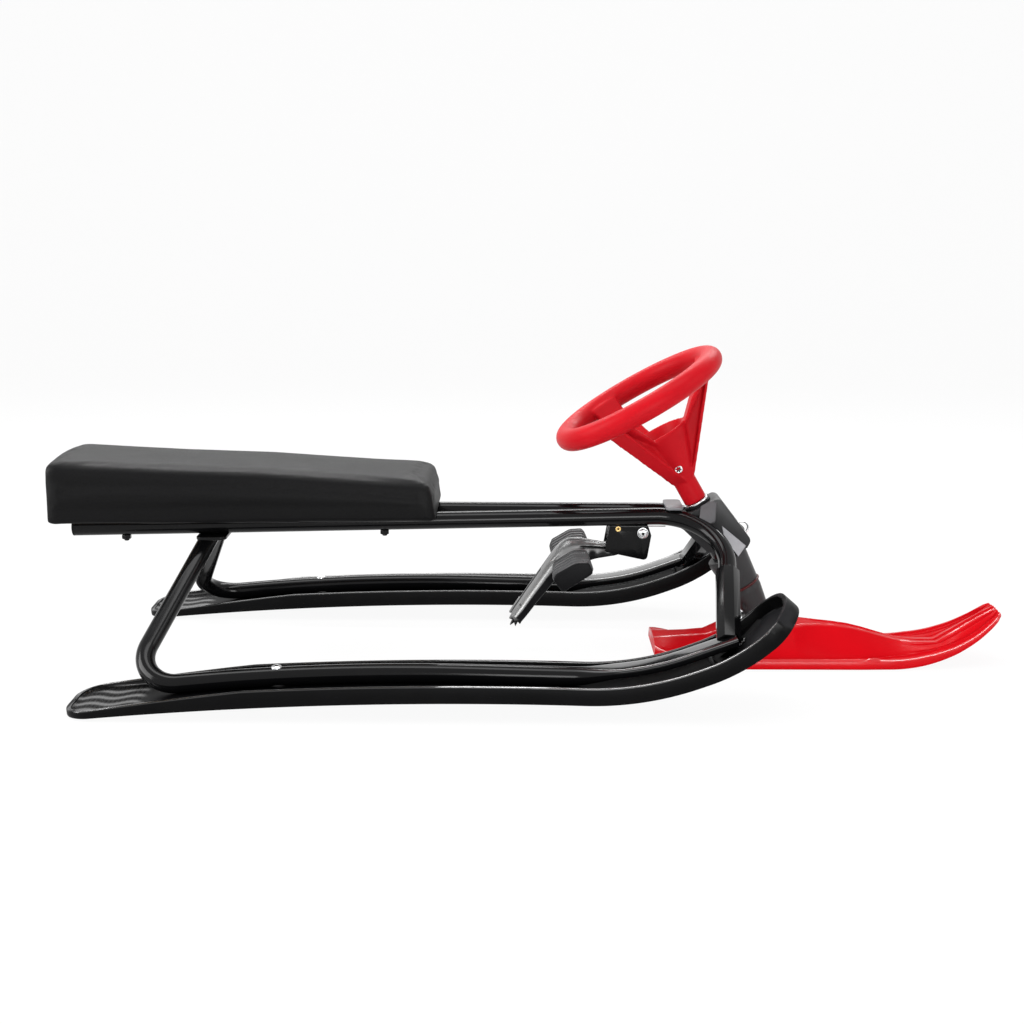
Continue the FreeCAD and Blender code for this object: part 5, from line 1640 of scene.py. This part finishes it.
def make_head_panels():
    """Pressed panels on the sides of the head, painted light grey as a painted highlight, and a ring at the seam
    of the stem below it, painted dark red as a painted reflection of the red ski.
    """
    panels = bmesh.new()
    for side in (-1, 1):
        inner = [on_axis(out, side * 21.5, up) for out, up, rise in PANEL]
        foot = [on_axis(out, side * (22.4 + rise * 0.7), up) for out, up, rise in PANEL]
        middle = sum(foot, Vector()) / len(foot)
        top = [middle.lerp(point, 0.93) + Vector((0, side * 0.5, 0)) for point in foot]
        skin(panels, [inner, foot, top])
    mesh = to_mesh("head_panels", panels, 20)
    # The panels are head paint nineteen times lighter: a painted highlight.
    place_piece("head_side_panels", mesh, "frame", "head_paint", (), "bright_panel")
    # A ring at the seam of the stem, coloured dark red as a painted reflection of the red ski.
    line = [on_axis(a, b, SEAM_UP) for a, b in circle(SEAM_RADIUS, 64)]
    seam = wire_mesh("seam_wire", [(line, True)], SEAM_WIRE, "wine_seam", 12)
    place_piece("stem_seam_ring", seam, "steering", "wheel_plastic", (), "wine_seam")


# Stage

FLOOR_WHITE = 0.93
FLOOR_HALF, FLOOR_DROP = 9000, 0.4
# The floor and the sweep behind it as (y, z)
FLOOR_SWEEP = [(-6000, 0), (2600, 0), (3300, 90), (3800, 420), (4050, 1000), (4100, 6000)]
# Name, place, target, width, depth and power of the lights
LIGHTS = [
    ("top_box", (-0.1, -0.2, 1.9), (0, 0, 0.1), 2.4, 0.6, 24),
    ("back_strip", (-0.05, 1.5, 1.5), (0, 0, 0.15), 2.8, 0.3, 40),
    ("front_box", (0.5, -2.5, 0.55), (0.1, 0, 0.25), 1.2, 0.7, 28),
    ("left_box", (-2.3, -0.5, 0.95), (0, 0, 0.15), 1.4, 1.4, 52),
    ("right_box", (2.2, -0.8, 1.2), (0.2, 0, 0.2), 1.0, 1.0, 10),
]
# The camera of the photo: its place, its tilt down and roll in degrees, and its focal length in pixels
CAMERA_PLACE = (-0.025, -1.810, 0.5714)
CAMERA_DOWN, CAMERA_ROLL = 12.13, 0.2
FOCAL_PIXELS, PHOTO_PIXELS = 1507, 1024
SENSOR = 36


def stage_material(name, white):
    """White paper to the camera and to reflections, plain diffuse paper to the rest, with the shadow kept."""
    look = Finish(name)
    nodes = look.tree.nodes
    rays = look.add("ShaderNodeLightPath")
    seen = Signal(look, rays.outputs["Is Camera Ray"]) + rays.outputs["Is Glossy Ray"]
    seen = seen + rays.outputs["Is Transmission Ray"]
    paper = look.add("ShaderNodeBsdfDiffuse", {}, {"Color": (0.9, 0.9, 0.9, 1)})
    glow = look.add("ShaderNodeEmission", {}, {"Color": (1, 1, 1, 1), "Strength": 1.0})
    both = look.add("ShaderNodeMixShader", {}, {0: seen * white, 1: paper.outputs[0], 2: glow.outputs[0]})
    look.tree.links.new(both.outputs[0], nodes["Material Output"].inputs[0])
    nodes.remove(look.surface)
    return look.material


def area_light(name, place, target, width, depth, power):
    lamp = bpy.data.lights.new(name, "AREA")
    lamp.shape = "RECTANGLE"
    lamp.size = width
    lamp.size_y = depth
    lamp.energy = power
    holder = loose_object(name, lamp)
    holder.location = place
    holder.rotation_euler = (Vector(target) - Vector(place)).to_track_quat("-Z", "Y").to_euler()


def make_floor():
    form = bmesh.new()
    rows = [[Vector((x, y, z - FLOOR_DROP)) for x in (-FLOOR_HALF, FLOOR_HALF)] for y, z in FLOOR_SWEEP]
    skin(form, rows, False, False)
    mesh = to_mesh("floor_form", form, 60, False)
    mesh.materials.append(stage_material("floor_paper", FLOOR_WHITE))
    loose_object("floor", mesh)


def make_world():
    """White to the camera and to reflections, dimmer as light."""
    world = bpy.data.worlds.new("studio")
    bpy.context.scene.world = world
    world.use_nodes = True
    tree = world.node_tree
    rays = add_node(tree, "ShaderNodeLightPath").outputs
    seen = rays["Is Camera Ray"]
    for kind in ("Is Glossy Ray", "Is Transmission Ray"):
        seen = add_node(tree, "ShaderNodeMath", {"operation": "MAXIMUM"}, {0: seen, 1: rays[kind]}).outputs[0]
    level = add_node(tree, "ShaderNodeMapRange", {}, {"Value": seen, "To Min": 0.4, "To Max": 1.0})
    back = tree.nodes["Background"]
    feed(tree, back.inputs["Color"], (1, 1, 1, 1))
    feed(tree, back.inputs["Strength"], level.outputs[0])


def make_camera():
    lens = bpy.data.cameras.new("photo_camera")
    lens.sensor_fit = "HORIZONTAL"
    lens.sensor_width = SENSOR
    lens.lens = SENSOR * FOCAL_PIXELS / PHOTO_PIXELS
    camera = loose_object("photo_camera", lens)
    camera.matrix_world = (Matrix.Translation(CAMERA_PLACE)
                           @ Matrix.Rotation(math.radians(90 - CAMERA_DOWN), 4, "X")
                           @ Matrix.Rotation(math.radians(CAMERA_ROLL), 4, "Z"))
    bpy.context.scene.camera = camera


def make_stage():
    bpy.context.scene.view_settings.view_transform = "Standard"
    make_floor()
    make_world()
    for light in LIGHTS:
        area_light(*light)
    make_camera()


# Operators and panel

class MakeSkis(bpy.types.Operator):
    """Mould the two rear skis"""

    bl_idname = "sled.make_skis"
    bl_label = "Rear skis"

    def execute(self, context):
        make_skis()
        return {"FINISHED"}


class MakeTubes(bpy.types.Operator):
    """Bend, press and weld the tubes of the frame"""

    bl_idname = "sled.make_tubes"
    bl_label = "Frame tubes"

    def execute(self, context):
        make_tubes()
        return {"FINISHED"}


class MakeSeat(bpy.types.Operator):
    """Upholster the seat"""

    bl_idname = "sled.make_seat"
    bl_label = "Seat"

    def execute(self, context):
        make_seat()
        return {"FINISHED"}


class MakeWheel(bpy.types.Operator):
    """Mould the steering wheel with its column"""

    bl_idname = "sled.make_wheel"
    bl_label = "Steering wheel"

    def execute(self, context):
        make_wheel()
        return {"FINISHED"}


class MakeFrontSki(bpy.types.Operator):
    """Mould the front ski"""

    bl_idname = "sled.make_front_ski"
    bl_label = "Front ski"

    def execute(self, context):
        make_front_ski()
        return {"FINISHED"}


class MakeBrake(bpy.types.Operator):
    """Make the brake lever, its pedals and its spring"""

    bl_idname = "sled.make_brake"
    bl_label = "Brake"

    def execute(self, context):
        make_brake()
        return {"FINISHED"}


class MakeFasteners(bpy.types.Operator):
    """Set the bolts, nuts and the tow eye"""

    bl_idname = "sled.make_fasteners"
    bl_label = "Fasteners"

    def execute(self, context):
        make_fasteners()
        return {"FINISHED"}


class MakeBrackets(bpy.types.Operator):
    """Finish the brackets, plates and turned parts"""

    bl_idname = "sled.make_brackets"
    bl_label = "Brackets and turned parts"

    def execute(self, context):
        make_brackets()
        return {"FINISHED"}


class MakeStage(bpy.types.Operator):
    """Set up the floor, the lights and the camera"""

    bl_idname = "sled.make_stage"
    bl_label = "Stage"

    def execute(self, context):
        make_stage()
        return {"FINISHED"}


PIECES = (MakeSkis, MakeTubes, MakeSeat, MakeWheel, MakeFrontSki, MakeBrake, MakeFasteners, MakeBrackets,
          MakeStage)


class SledPanel(bpy.types.Panel):
    """Lists the pieces of the sled and their sizes"""

    bl_idname = "VIEW3D_PT_sled"
    bl_label = "Steering sled"
    bl_space_type = "VIEW_3D"
    bl_region_type = "UI"
    bl_category = "Sled"

    def draw(self, context):
        for piece in PIECES:
            self.layout.operator(piece.bl_idname)
        for group in (context.scene.sled_sizes, context.scene.sled_colours):
            for name in group.__annotations__:
                self.layout.prop(group, name)


CLASSES = (SledSizes, SledColours) + PIECES + (SledPanel,)


def register():
    for item in CLASSES:
        bpy.utils.register_class(item)
    bpy.types.Scene.sled_sizes = bpy.props.PointerProperty(type=SledSizes)
    bpy.types.Scene.sled_colours = bpy.props.PointerProperty(type=SledColours)


def unregister():
    del bpy.types.Scene.sled_colours
    del bpy.types.Scene.sled_sizes
    for item in reversed(CLASSES):
        bpy.utils.unregister_class(item)


def main():
    register()
    for piece in PIECES:
        group, name = piece.bl_idname.split(".")
        getattr(getattr(bpy.ops, group), name)()


if __name__ == "__main__":
    main()
